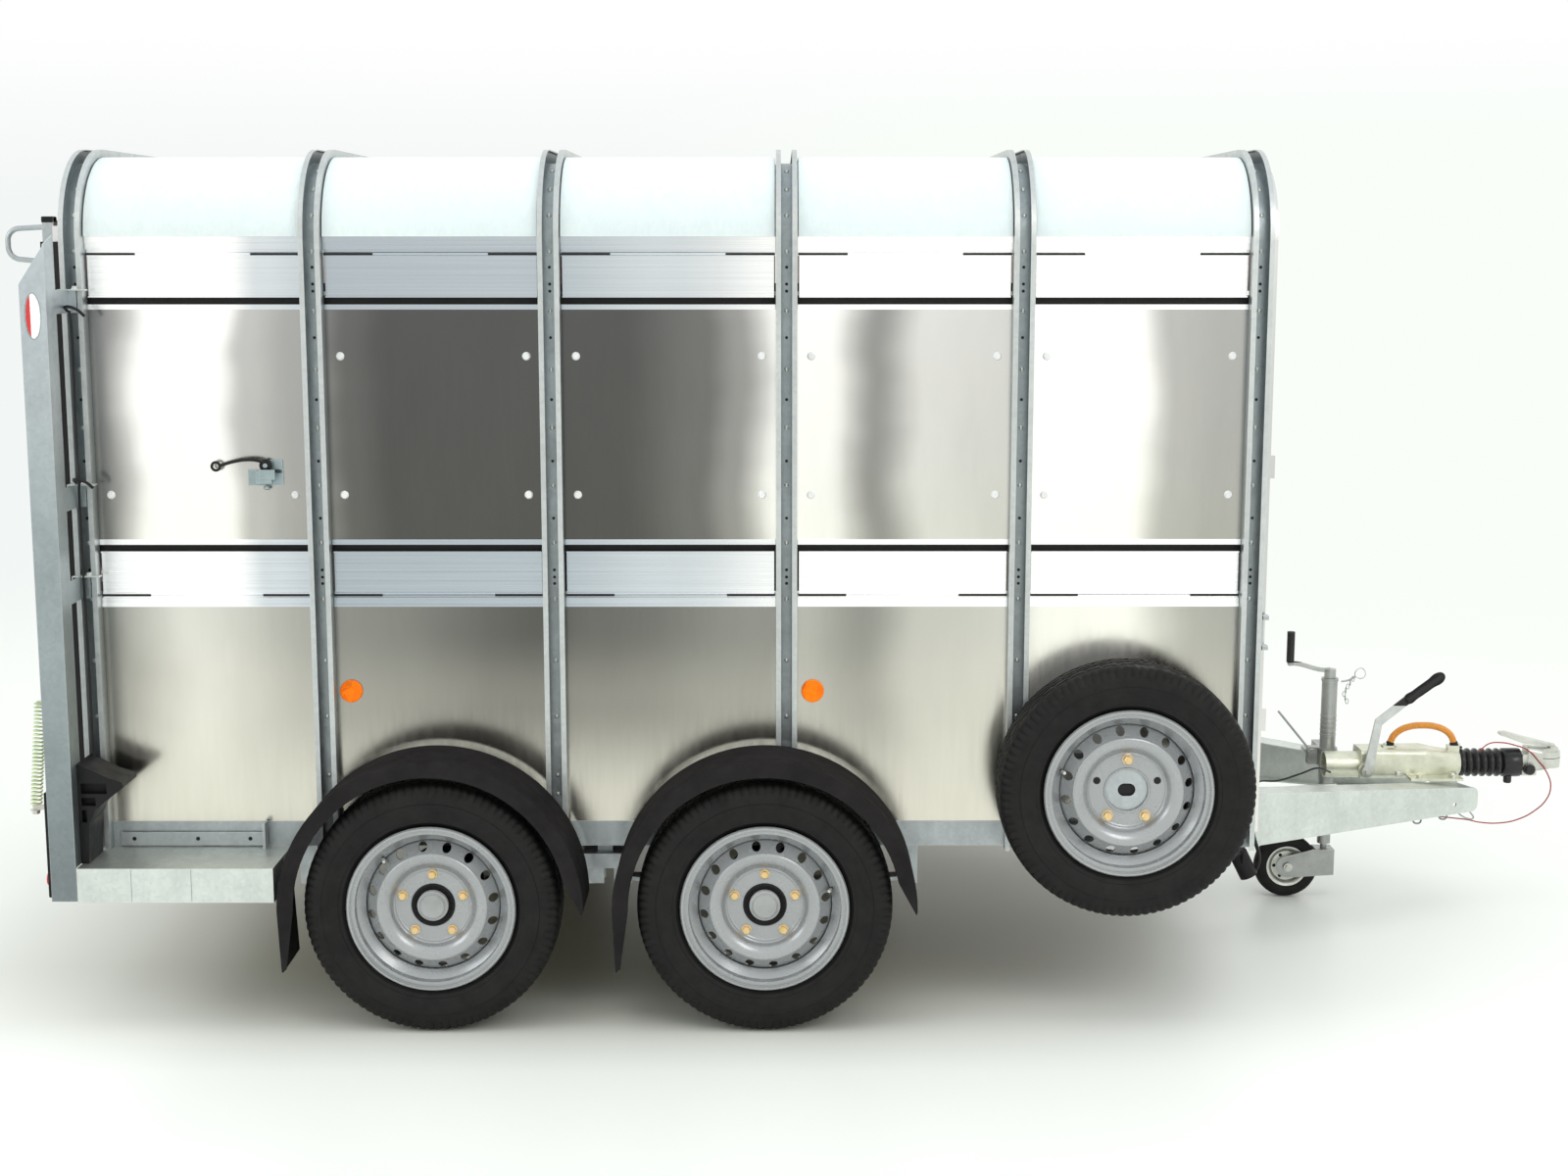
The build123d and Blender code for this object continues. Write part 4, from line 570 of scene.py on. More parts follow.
def add_dome(bm, origin, direction, radius, height):
    """Rounded rivet head."""
    profile = ((radius, 0), (radius * 0.95, height * 0.4), (radius * 0.6, height * 0.85), (0, height))
    add_lathe(bm, profile, origin, direction, 16)


def wire(name, points, radius, body, paint, cyclic=False, smooth=True):
    """Round wire, cable or bar through points, as a curve."""
    curve = bpy.data.curves.new(name, "CURVE")
    curve.dimensions = "3D"
    curve.bevel_depth = radius
    curve.bevel_resolution = 4
    curve.resolution_u = 10
    curve.use_fill_caps = True
    if smooth:
        spline = curve.splines.new("BEZIER")
        spline.bezier_points.add(len(points) - 1)
        for point, place in zip(spline.bezier_points, points):
            point.co = place
            point.handle_left_type = point.handle_right_type = "AUTO"
    else:
        spline = curve.splines.new("POLY")
        spline.points.add(len(points) - 1)
        for point, place in zip(spline.points, points):
            point.co = (*place, 1.0)
    spline.use_cyclic_u = cyclic
    obj = bpy.data.objects.new(name, curve)
    bpy.context.scene.collection.objects.link(obj)
    curve.materials.append(paint)
    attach(obj, body)
    return obj


def closed_loop(count, point):
    """Points of a closed curve, where point gives the place at an angle in radians."""
    return [point(2 * math.pi * i / count) for i in range(count)]


def node_centre(name):
    """Middle of a CAD node's box."""
    low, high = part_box(name)
    return (Vector(low) + Vector(high)) / 2


# ---- Wheels -------------------------------------------------------------------------------
TREAD_DEPTH = 0.008
TYRE_STEPS = 288  # a multiple of the tread's pitch of 6 steps
STUD_CIRCLE = 0.08255  # radius of the bolt circle
STUD_SEAT = 0.0352  # bolt seats lie this far out from the wheel's middle plane


def tyre_mesh(centre, side):
    """Tyre with shoulder blocks, rib grooves, sidewall rings and a rounded bead."""
    outer, bead = 0.3342, 0.2185
    groove = outer - TREAD_DEPTH
    section = [(-0.050, bead - 0.004), (-0.062, bead), (-0.067, bead + 0.006), (-0.072, bead + 0.012),
               (-0.0735, bead + 0.0135), (-0.0745, bead + 0.0125), (-0.0775, bead + 0.022),
               (-0.0790, bead + 0.0225), (-0.0822, bead + 0.034), (-0.0858, bead + 0.046),
               (-0.0862, bead + 0.0475), (-0.0868, bead + 0.0490), (-0.0862, bead + 0.062),
               (-0.0866, bead + 0.0632), (-0.0846, bead + 0.0645), (-0.0836, bead + 0.078),
               (-0.0812, bead + 0.090), (-0.0806, bead + 0.0915), (-0.0784, bead + 0.0955),
               (-0.0750, bead + 0.1030), (-0.0700, outer - 0.0070), (-0.0620, outer - 0.0035),
               (-0.0530, outer - 0.0017), (-0.0400, outer - 0.0008), (-0.0385, groove), (-0.0315, groove),
               (-0.0300, outer - 0.0005), (-0.0160, outer), (-0.0145, groove), (-0.0065, groove),
               (-0.0050, outer)]
    section += [(-across, radius) for across, radius in reversed(section)]
    bm = bmesh.new()
    rings = []
    for i in range(TYRE_STEPS):
        angle = 2 * math.pi * i / TYRE_STEPS
        ring = []
        for across, radius in section:
            shoulder = 0.046 <= abs(across) <= 0.0815 and radius > bead + 0.089
            block = abs(across) <= 0.0312 and radius > outer - 0.002
            if shoulder and i % 3 == 0:
                radius -= TREAD_DEPTH * (0.55 if radius < outer - 0.006 else 0.30)
                across *= 0.978
            elif block and (i + (2 if across > 0 else 0)) % 6 == 0:
                radius -= TREAD_DEPTH * 0.35
            x = radius * math.cos(angle) + centre[0]
            z = radius * math.sin(angle) + centre[2]
            ring.append(bm.verts.new((x, across * side + centre[1], z)))
        rings.append(ring)
    for a, b in zip(rings, rings[1:] + rings[:1]):
        for j in range(len(section) - 1):
            bm.faces.new((a[j], a[j + 1], b[j + 1], b[j]))
    return bm


VALVE_STEM = ((0.0075, 0), (0.0070, 0.006), (0.0045, 0.012), (0.0042, 0.022), (0, 0.022))
VALVE_CAP = ((0, 0.022), (0.0048, 0.022), (0.0050, 0.024), (0.0050, 0.034), (0.0038, 0.037), (0, 0.037))


def valve(name, centre, side, body, degrees):
    """Rubber snap-in valve with a metal cap, leaning out of the rim."""
    spot = centre + around(0.183, degrees, side * 0.022)
    lean = around(-0.30, degrees, side)
    lathe_piece(name, VALVE_STEM, spot, lean, 16, body, black_plastic)
    lathe_piece(name + "_cap", VALVE_CAP, spot, lean, 16, body, zinc)


PRESSED_STEP = ((0.0925, 0.0345), (0.0955, 0.0372), (0.0985, 0.0372), (0.1015, 0.0345))
OPENING_LIP = ((0.0540, 0.0345), (0.0560, 0.0385), (0.0590, 0.0385), (0.0610, 0.0345))


def rim_steps(prefix, centre, out, body, profiles=(PRESSED_STEP,)):
    """Pressed step round the bolt circle of a rim, and the lip of its hub opening where that shows."""
    bm = bmesh.new()
    for profile in profiles:
        add_lathe(bm, profile, centre, out, 72)
    piece(prefix + "_rim_steps", bm, body, enamel, True, 60)


DRUM = ((0, -0.058), (0.100, -0.058), (0.1035, -0.054), (0.1035, 0.012), (0.100, 0.016), (0.094, 0.018),
        (0.090, 0.0295), (0, 0.0295))
HUB_RING = ((0.0335, 0.030), (0.0570, 0.030), (0.0572, 0.0375), (0.0560, 0.0395), (0.0525, 0.0405),
            (0.0505, 0.0385), (0.0465, 0.0380), (0.0440, 0.036), (0.0335, 0.035))
RING_STUD = ((0.0022, 0.038), (0.0022, 0.0405), (0, 0.041))
GREASE_CAP = ((0.0405, 0.030), (0.0405, 0.045), (0.0398, 0.0475), (0.0375, 0.0485), (0.0335, 0.0485),
              (0.0325, 0.0495), (0.0320, 0.0530), (0.0300, 0.0555), (0, 0.0558))


def hub_set(prefix, centre, side, body):
    """Drum face, hub ring, grease cap and five bolts of a road wheel."""
    out = Vector((0, side, 0))
    drum = lathe_piece(prefix + "_drum", DRUM, centre, out, 64, body, hub_iron)
    bm = bmesh.new()
    add_lathe(bm, HUB_RING, centre, out, 64)
    for i in range(20):
        add_lathe(bm, RING_STUD, centre + around(0.0488, 18 * i), out, 10)
    piece(prefix + "_ring", bm, body, hub_iron)
    lathe_piece(prefix + "_cap", GREASE_CAP, centre, out, 64, body, cap_plastic)
    bm = bmesh.new()
    for i in range(5):
        spot = centre + around(STUD_CIRCLE, 18 + 72 * i, side * STUD_SEAT)
        add_hex_bolt(bm, spot, out, 0.019, 0.0135, 0.0125)
    piece(prefix + "_bolts", bm, body, brass, True, 30)
    rim_steps(prefix, centre, out, body)
    return drum


for wheel in WHEELS:
    body = f"wheel_{wheel}"
    side = -1 if wheel.endswith("right") else 1
    centre = node_centre(f"tyre_{wheel}")
    tyre = piece(f"tyre_{wheel}_looks", tyre_mesh(centre, side), body, rubber, True, 32)
    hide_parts(f"tyre_{wheel}")
    drum = hub_set(f"hub_{wheel}", centre, side, body)
    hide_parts(f"wheel_hub_{wheel}")
    valve(f"valve_{wheel}", centre, side, body, 135 if wheel.startswith("rear") else 14)

SPARE = node_centre("spare_tyre")
spare = piece("spare_tyre_looks", tyre_mesh(SPARE, -1), BODY, rubber, True, 32)
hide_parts("spare_tyre")
valve("spare_valve", SPARE, -1, BODY, 163)
rim_steps("spare", SPARE, (0, -1, 0), BODY, (PRESSED_STEP, OPENING_LIP))
bm = bmesh.new()
for degrees in (90, 234, 306):
    add_hex_bolt(bm, SPARE + around(STUD_CIRCLE, degrees, -STUD_SEAT), (0, -1, 0), 0.0205, 0.020, 0.0145)
piece("spare_bolts", bm, BODY, brass, True, 30)


# ---- Body details -------------------------------------------------------------------------
WEB_Y = 0.9137  # face of the hoops' web
CORNER_R = WEB_Y - CORNER_Y
HOOP_X = [BODY_X0 + BODY_LENGTH * i / 5 for i in range(6)]  # middle of each of the six hoops
RIVET_Z = (0.588, 0.640, 0.800, 0.951, 1.116, 1.265, 1.416, 1.567, 1.718, 1.869, 2.020)
HOLE_Z = (1.157, 1.174, 1.193, 1.330, 1.480, 1.640, 1.800, 1.919, 1.937, 1.980)

for side, label in SIDES:
    rivets, holes = bmesh.new(), bmesh.new()
    for x in HOOP_X:
        for z in RIVET_Z:
            add_dome(rivets, (x, side * WEB_Y, z), (0, side, 0), 0.0062, 0.0035)
        for z in HOLE_Z:
            add_lathe(holes, hole_shade_disc(0.0040, 0.0005), (x, side * (WEB_Y + 0.0004), z), (0, side, 0), 14)
        for turn in (18, 40, 62):
            lean = math.radians(turn)
            spot = (x, side * (CORNER_Y + CORNER_R * math.cos(lean)), CORNER_Z + CORNER_R * math.sin(lean))
            out = (0, side * math.cos(lean), math.sin(lean))
            add_dome(rivets, spot, out, 0.0065, 0.0035)
    piece(f"hoop_rivets_{label}", rivets, BODY, galv_painted_light)
    piece(f"hoop_holes_{label}", holes, BODY, cable_black, False)

# Small plate with three holes and an upright tab on each rear step
for side, label in SIDES:
    bm = bmesh.new()
    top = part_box("rear_steps")[1][2]
    add_slab(bm, (-1.290, side * 0.918 - 0.003, top + 0.004), (-0.905, side * 0.918 + 0.003, top + 0.040))
    add_slab(bm, (-0.905, side * 0.935 - 0.018, top), (-0.897, side * 0.935 + 0.018, top + 0.072))
    soften(piece(f"step_plate_{label}", bm, BODY, galv, False), 0.001, 2)
    bm = bmesh.new()
    for x in (-1.255, -1.085, -0.945):
        add_lathe(bm, hole_shade_disc(0.0055), (x, side * 0.921, top + 0.022), (0, side, 0), 16)
    piece(f"step_plate_holes_{label}", bm, BODY, cable_black, False)
    bm = bmesh.new()
    step_face = side * 1.1302
    for x in (-1.205, -1.050):
        add_slab(bm, (x - 0.0008, step_face - 0.0002, 0.357), (x + 0.0008, step_face + 0.0004, 0.442))
    piece(f"step_seams_{label}", bm, BODY, galv_dark, False)

# Black strip that closes the gap between each corner post and the ramp's edge, painted shade where the gap
# shows dark
for side, label in SIDES:
    bm = bmesh.new()
    add_slab(bm, (-1.4155, side * 0.940 - 0.005, 0.462), (-1.3690, side * 0.940 + 0.005, 2.045))
    soften(piece(f"ramp_edge_gap_shade_{label}", bm, BODY, cable_black, False), 0.002, 2)

# Dark strips of painted shade in the gaps beside the vent flaps, and in the slots their hinges work in
for side, label in SIDES:
    bm = bmesh.new()
    for low_z, high_z in ((1.238, 1.263), (1.880, 1.908)):
        add_slab(bm, (HOOP_X[0], side * 0.8935 - 0.001, low_z), (HOOP_X[5], side * 0.8935 + 0.001, high_z))
    for i in range(5):
        start, end = HOOP_X[i] + 0.030, HOOP_X[i + 1] - 0.030
        for x0, x1 in ((start, start + 0.127), (end - 0.127, end)):
            for z in (1.1235, 2.0105):
                add_slab(bm, (x0, side * 0.9145 - 0.003, z), (x1, side * 0.9145 + 0.003, z + 0.006))
    piece(f"vent_gap_shade_{label}", bm, BODY, cable_black, False)

# Ties from the rear pillars to the first hoop, and the lamp wiring they carry
for side, label in SIDES:
    bm = bmesh.new()
    y = side * 0.955
    for z in (1.925, 1.425, 1.185):
        add_slab(bm, (-1.372, y - 0.012, z - 0.004), (-1.300, y + 0.012, z))
        add_slab(bm, (-1.372, y - 0.012, z - 0.060), (-1.369, y + 0.012, z))
        add_hex_bolt(bm, (-1.330, y, z), (0, 0, 1), 0.013, 0.008, 0.009)
    soften(piece(f"pillar_ties_{label}", bm, BODY, galv_painted_light, False), 0.0008, 2)
    y = side * 0.972
    path = [(-1.338, y, 0.50), (-1.337, y, 0.9), (-1.339, y, 1.40), (-1.331, y + side * 0.02, 1.44),
            (-1.339, y, 1.50), (-1.338, y, 1.84), (-1.334, y + side * 0.02, 1.87)]
    wire(f"lamp_wire_{label}", path, 0.0035, BODY, cable_black)
    for z in (1.870, 1.430):
        path = [(-1.346, y, z), (-1.338, y + side * 0.030, z + 0.012), (-1.315, y + side * 0.028, z + 0.006),
                (-1.300, y + side * 0.010, z - 0.012)]
        wire(f"cable_tie_{label}_{int(z * 1000)}", path, 0.004, BODY, cable_black)

# Rubber strap with a ring, held by the side latch
STRAP = [(-0.866, -0.932, 1.477), (-0.885, -0.936, 1.484), (-0.917, -0.936, 1.4855), (-0.945, -0.934, 1.481),
         (-0.968, -0.932, 1.475), (-0.982, -0.930, 1.470)]
wire("latch_strap", STRAP, 0.0045, BODY, cable_black)
RING_HALF = ((0.0075, 0.0), (0.0075, 0.004), (0.0125, 0.004), (0.0140, 0.0), (0.0140, -0.002),
             (0.0075, -0.002))
bm = bmesh.new()
for sign in (-1, 1):
    add_lathe(bm, RING_HALF, (-0.994, -0.930, 1.468), (0, sign, 0), 28)
piece("latch_strap_ring", bm, BODY, cable_black)

# Pivot head, end stud and rubber grommet of the latch
LATCH_STUD = ((0.0080, 0), (0.0080, 0.007), (0.0060, 0.010), (0, 0.010))
GROMMET = ((0.0145, 0.001), (0.0165, 0.003), (0.0165, 0.007), (0.0145, 0.009), (0.006, 0.009), (0.006, 0.001))
low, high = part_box("side_latch")
bm = bmesh.new()
pivot = Vector((low.x + 0.050, (low.y + high.y) / 2, high.z + 0.012))
add_slab(bm, (low.x + 0.058, high.y - 0.004, high.z - 0.010), (low.x + 0.091, high.y - 0.001, high.z + 0.026))
add_hex_bolt(bm, pivot + Vector((0, -0.005, 0)), (0, -1, 0), 0.012, 0.007, 0.0)
add_lathe(bm, ((0.0075, 0), (0.0075, 0.014), (0, 0.014)), pivot + Vector((0, 0.012, 0)), (0, -1, 0), 20)
add_lathe(bm, LATCH_STUD, (pivot.x, pivot.y, low.z), (0, 0, -1), 24)
soften(piece("latch_pivot", bm, BODY, latch_zinc, False), 0.0008, 2)
lathe_piece("latch_grommet", GROMMET, pivot + Vector((0, 0.002, 0)), (0, -1, 0), 32, BODY, cable_black)

# Hinge bracket on the front edge of the foremost hoop
bm = bmesh.new()
for z in (0.990, 1.070):
    add_slab(bm, (1.738, -0.948, z - 0.006), (1.756, -0.925, z + 0.006))
add_slab(bm, (1.738, -0.948, 0.984), (1.742, -0.925, 1.076))
soften(piece("front_hoop_bracket", bm, BODY, galv, False), 0.001, 2)


# ---- Lamps --------------------------------------------------------------------------------
def lamp_material():
    """Red and clear side markers up on the pillars; red, amber and clear bands in the lower tail lamps."""
    paint = Paint("lamp_lens", roughness=0.12, coat_weight=0.8, coat_roughness=0.05)
    height = paint.axis("Z")
    red, amber, clear = (0.60, 0.012, 0.012), (0.90, 0.22, 0.01), (0.90, 0.92, 0.91)
    low = paint.mix(paint.math("GREATER_THAN", height, 0.462), red, amber)
    low = paint.mix(paint.math("GREATER_THAN", height, 0.552), low, red)
    low = paint.mix(paint.math("LESS_THAN", height, 0.392), low, clear)
    marker = paint.mix(paint.math("GREATER_THAN", paint.axis("X"), -1.3865), red, clear)
    prism = paint.cells(170.0, output="Distance")
    color = paint.mix(paint.math("GREATER_THAN", height, 1.2), low, marker)
    color = paint.mix(0.6, color, paint.ramp(prism, ((0.0, 1.1), (0.7, 0.6))), "MULTIPLY")
    paint.set("Base Color", color)
    paint.set("Emission Color", color)
    paint.set("Emission Strength", 0.18)
    paint.bump(prism, 0.3, 0.001)
    return paint.material


def reflector_material():
    """Amber reflector with a grain of prisms."""
    paint = Paint("reflector_lens", roughness=0.3, coat_weight=0.15, coat_roughness=0.04)
    paint.set("Specular IOR Level", 0.1)
    prism = paint.cells(210.0, output="Distance")
    grain = paint.cells(38.0)
    color = paint.mix(1.0, (1.0, 0.19, 0.0), paint.ramp(grain, ((0.0, 0.72), (1.0, 1.25))), "MULTIPLY")
    color = paint.mix(0.5, color, paint.ramp(prism, ((0.0, 1.2), (0.7, 0.6))), "MULTIPLY")
    paint.set("Base Color", color)
    # Painted glow: the lens gives off a little of its own colour, so it stands out as if lit
    paint.set("Emission Color", color)
    paint.set("Emission Strength", 0.25)
    paint.bump(prism, 0.4, 0.001)
    return paint.material


repaint("rear_lamps", lamp_material())
repaint("side_reflectors", reflector_material())


def marker_rim_point(a, side):
    """Place on the oval rim of a side marker lamp."""
    return -1.380 + 0.0205 * math.cos(a), side * 1.1285, 1.862 + 0.0575 * math.sin(a)


for side, label in SIDES:
    bm = bmesh.new()
    lamp_y = side * 1.062
    for y in (lamp_y - 0.065, lamp_y + 0.0605):
        add_slab(bm, (-1.4205, y, 0.367), (-1.4125, y + 0.0045, 0.645))
    for z in (0.367, 0.6405):
        add_slab(bm, (-1.4205, lamp_y - 0.065, z), (-1.4125, lamp_y + 0.065, z + 0.0045))
    soften(piece(f"tail_lamp_rim_{label}", bm, BODY, black_plastic, False), 0.0015, 2)
    oval = closed_loop(40, lambda a: marker_rim_point(a, side))
    wire(f"marker_rim_{label}", oval, 0.0016, BODY, cable_black, cyclic=True, smooth=False)


# ---- Ramp details -------------------------------------------------------------------------
def coil(name, start, end, radius, thickness, turns, body, paint):
    """Helical spring between two points."""
    start, end = Vector(start), Vector(end)
    place = Matrix.Translation(start) @ turned(end - start)
    length = (end - start).length
    count = int(turns * 14)
    points = []
    for i in range(count + 1):
        share = i / count
        points.append(tuple(place @ on_circle(radius, turns * share, length * share)))
    return wire(name, points, thickness, body, paint, smooth=False)


def spring_finish():
    """Yellow-green passivated spring wire."""
    paint = Paint("spring_zinc", metallic=0.7, roughness=0.3)
    hue = paint.ramp(paint.noise(35.0, 4.0), ((0.3, (0.42, 0.55, 0.26)), (0.7, (0.74, 0.82, 0.55))))
    paint.set("Base Color", hue)
    paint.bump(paint.noise(300.0, 2.0), 0.15, 0.0005)
    return paint.material


spring_green = spring_finish()

# Assist springs with their rods; one rod piece stands in for the CAD node of both
for side, label in SIDES:
    foot, head = (-1.502, side * 0.950, 0.568), (-1.477, side * 0.950, 0.850)
    spring = coil(f"assist_spring_{label}", foot, head, 0.0138, 0.0022, 27, "ramp", spring_green)
    bm = bmesh.new()
    add_hex_bolt(bm, Vector(foot) - Vector((0.002, 0, 0.012)), (0, 0, -1), 0.019, 0.012, 0.015)
    for x, y, z in (foot, head):
        add_slab(bm, (x - 0.008, y - 0.007, z - 0.012), (-1.420, y + 0.007, z))
        near, far = sorted((y, side * 0.873))
        add_slab(bm, (-1.437, near - 0.001, z - 0.012), (-1.419, far + 0.001, z))
    rod = piece(f"assist_spring_rod_{label}", bm, "ramp", zinc)
    if side == -1:
        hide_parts("ramp_assist_springs")

# Plastic caps on the ramp's upright tubes
for side, label in SIDES:
    bm = bmesh.new()
    add_slab(bm, (-1.4335, side * 0.86 - 0.0155, 2.0935), (-1.4020, side * 0.86 + 0.0155, 2.1095))
    soften(piece(f"ramp_tube_cap_{label}", bm, "ramp", black_plastic, False), 0.003, 3)

# Rivets on the outside of the ramp
bm = bmesh.new()
for z in (0.560, 0.80, 1.05, 1.32, 1.55, 1.80, 2.045):
    for y in (-0.825, -0.56, -0.28, 0.0, 0.28, 0.56, 0.825):
        add_dome(bm, (-1.4022, y, z), (-1, 0, 0), 0.006, 0.003)
piece("ramp_rivets", bm, "ramp", galv_painted_light)


# ---- Coupling and drawbar -----------------------------------------------------------------
COUPLING_Z = 0.452
BELLOWS_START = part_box("coupling_bellows")[0][0]
BELLOWS_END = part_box("coupling_bellows")[1][0]

# Bellows with five folds between two collars
profile = [(0.031, 0.0), (0.040, 0.0), (0.0425, 0.004), (0.0425, 0.011), (0.0385, 0.015)]
for i in range(5):
    x = 0.015 + i * 0.0225
    profile += [(0.0350, x + 0.001), (0.0375, x + 0.0045), (0.0430, x + 0.0085), (0.0440, x + 0.0125),
                (0.0430, x + 0.0165), (0.0375, x + 0.0205)]
collar_end = BELLOWS_END - BELLOWS_START - 0.002
profile += [(0.0352, 0.129), (0.0400, 0.1315), (0.0440, 0.134), (0.0445, 0.180), (0.0435, collar_end),
            (0.031, collar_end)]
anchor = (BELLOWS_START, 0, COUPLING_Z)
bellows = lathe_piece("bellows_looks", profile, anchor, (1, 0, 0), 64, BODY, bellows_rubber, True, 60)
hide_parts("coupling_bellows")
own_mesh(bellows)

# Rubber plug and lower boss at the head's end of the bellows
PLUG = ((0.017, -0.010), (0.017, 0.006), (0.011, 0.009), (0.011, 0.015), (0.015, 0.018), (0.0165, 0.025),
        (0.013, 0.031), (0, 0.033))
BOSS = ((0.0125, 0), (0.0125, 0.020), (0.0105, 0.024), (0, 0.024))
bm = bmesh.new()
add_lathe(bm, PLUG, (2.785, -0.022, 0.437), (0, -1, 0.05), 32)
add_lathe(bm, BOSS, (2.728, -0.010, 0.414), (0, 0, -1), 24)
piece("bellows_plug", bm, "overrun_head", bellows_rubber)


def path_points(points, count):
    """A smooth curve through the given points, as count steps of a Catmull-Rom spline."""
    points = [Vector(p) for p in points]
    extended = [2 * points[0] - points[1]] + points + [2 * points[-1] - points[-2]]
    result = []
    for i in range(count + 1):
        t = i / count * (len(points) - 1)
        k = min(int(t), len(points) - 2)
        u = t - k
        a, b, c, d = extended[k:k + 4]
        bend = (2 * a - 5 * b + 4 * c - d) * u * u
        result.append(0.5 * ((2 * b) + (c - a) * u + bend + (3 * b - a - 3 * c + d) * u ** 3))
    return result


# Lifting handle of three twisted strands, and its sockets
ROPE_PATH = ((2.360, 0, 0.507), (2.372, 0, 0.536), (2.396, 0, 0.556), (2.428, 0, 0.5665), (2.461, 0, 0.569),
             (2.494, 0, 0.5665), (2.526, 0, 0.556), (2.550, 0, 0.536), (2.562, 0, 0.507))
ROPE_STEPS = 220
STRAND_TURNS = 13
rope_line = path_points(ROPE_PATH, ROPE_STEPS)
for strand in range(3):
    turns = []
    for i, point in enumerate(rope_line):
        ahead = rope_line[min(i + 1, ROPE_STEPS)] - rope_line[max(i - 1, 0)]
        across = Vector((0, 1, 0))
        normal = ahead.normalized().cross(across)
        angle = 2 * math.pi * (i / ROPE_STEPS * STRAND_TURNS + strand / 3)
        turns.append(tuple(point + 0.0048 * (math.cos(angle) * across + math.sin(angle) * normal)))
    rope = wire(f"rope_strand_{strand + 1}", turns, 0.0058, BODY, rope_orange, smooth=False)
    if strand == 0:
        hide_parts("rope_handle")
ROPE_FERRULE = ((0.0125, 0), (0.0125, 0.014), (0.0105, 0.016), (0, 0.016))
bm = bmesh.new()
for x, lean in ((2.359, 0.35), (2.563, -0.35)):
    add_lathe(bm, ROPE_FERRULE, (x, 0, 0.502), (lean, 0, 1), 24)
    add_slab(bm, (x - 0.022, -0.012, 0.4985), (x + 0.020, 0.012, 0.5035))
piece("rope_sockets", bm, BODY, black_steel)
bm = bmesh.new()
for x in (2.347, 2.574):
    add_hex_bolt(bm, (x, 0, 0.5035), (0, 0, 1), 0.010, 0.010, 0.007)
piece("rope_bolts", bm, BODY, zinc)

# Breakaway cable from the head, looped forward and back under the nose to its clip
CABLE = [(2.623, -0.050, 0.498), (2.650, -0.055, 0.523), (2.685, -0.055, 0.527), (2.737, -0.050, 0.516),
         (2.772, -0.045, 0.502), (2.809, -0.040, 0.467), (2.838, -0.052, 0.425), (2.849, -0.052, 0.385),
         (2.838, -0.052, 0.347), (2.805, -0.052, 0.312), (2.755, -0.052, 0.284), (2.695, -0.060, 0.274),
         (2.629, -0.070, 0.279), (2.588, -0.085, 0.291), (2.540, -0.095, 0.299), (2.470, -0.105, 0.309)]
CLIP = [(2.548, -0.100, 0.325), (2.588, -0.098, 0.297), (2.600, -0.097, 0.300), (2.596, -0.097, 0.310),
        (2.562, -0.099, 0.3335), (2.551, -0.100, 0.3295)]
wire("breakaway_cable", CABLE, 0.0020, BODY, cable_red)
wire("spring_clip", CLIP, 0.0024, BODY, zinc_grey, cyclic=True)

# Small hooks under the drawbar's nose, which tapers in and rises from its root
BAR_ROOT_X = 1.738
BAR_ROOT_Y = 0.502
BAR_LENGTH = 0.872
BAR_TAPER = 0.402  # how far each rail comes in over its length
for i, x in enumerate((2.493, 2.402)):
    along = x - BAR_ROOT_X
    y = -(BAR_ROOT_Y - along * BAR_TAPER / BAR_LENGTH) + 0.012
    z = 0.308 + 0.016 * along / BAR_LENGTH
    hook = [(x - 0.012, y, z + 0.002), (x - 0.011, y, z - 0.009), (x, y, z - 0.014),
            (x + 0.010, y, z - 0.009), (x + 0.011, y, z + 0.002)]
    wire(f"nose_hook_{i + 1}", hook, 0.0026, BODY, galv_dark)

# Bolts through the nose, the lead along the drawbar, and the brake rod
bm = bmesh.new()
add_hex_bolt(bm, (2.240, 0.0, 0.3085), (0, 0, -1), 0.017, 0.012, 0.013)
for x, y in ((2.375, -0.055), (2.375, 0.055), (2.535, -0.078), (2.535, 0.078)):
    add_hex_bolt(bm, (x, y, 0.425), (0, 0, 1), 0.017, 0.012, 0.013)
piece("drawbar_bolts", bm, BODY, zinc)
LEAD = [(1.800, -0.600, 0.430), (1.880, -0.330, 0.470), (1.975, -0.225, 0.452), (2.040, -0.190, 0.462),
        (2.100, -0.150, 0.470), (2.160, -0.080, 0.440)]
wire("drawbar_lead", LEAD, 0.0030, BODY, cable_black)
wire("brake_rod", [(1.300, 0, 0.340), (1.900, 0, 0.360), (2.200, 0, 0.380)], 0.006, BODY, zinc)
wire("brake_rod_rear", [(-0.40, 0, 0.300), (0.40, 0, 0.310), (1.300, 0, 0.340)], 0.006, BODY, zinc)

# Seam round the coupling cup, below its cover
SEAM = ((0.0420, 0.0), (0.0435, 0.0), (0.0435, 0.0016), (0.0420, 0.0016))
lathe_piece("head_cover_seam", SEAM, (2.846, 0, 0.4715), (0, 0, 1), 64, "overrun_head", black_steel, False)

# Handbrake handle: a looped moulded grip over the lever's end
GRIP_BLACK = (0.006, 0.006, 0.006)
GRIP_A, GRIP_B = Vector((2.386, -0.077, 0.664)), Vector((2.487, -0.077, 0.740))
grip_line = (GRIP_B - GRIP_A).normalized()
grip_up = Vector((-grip_line.z, 0, grip_line.x))
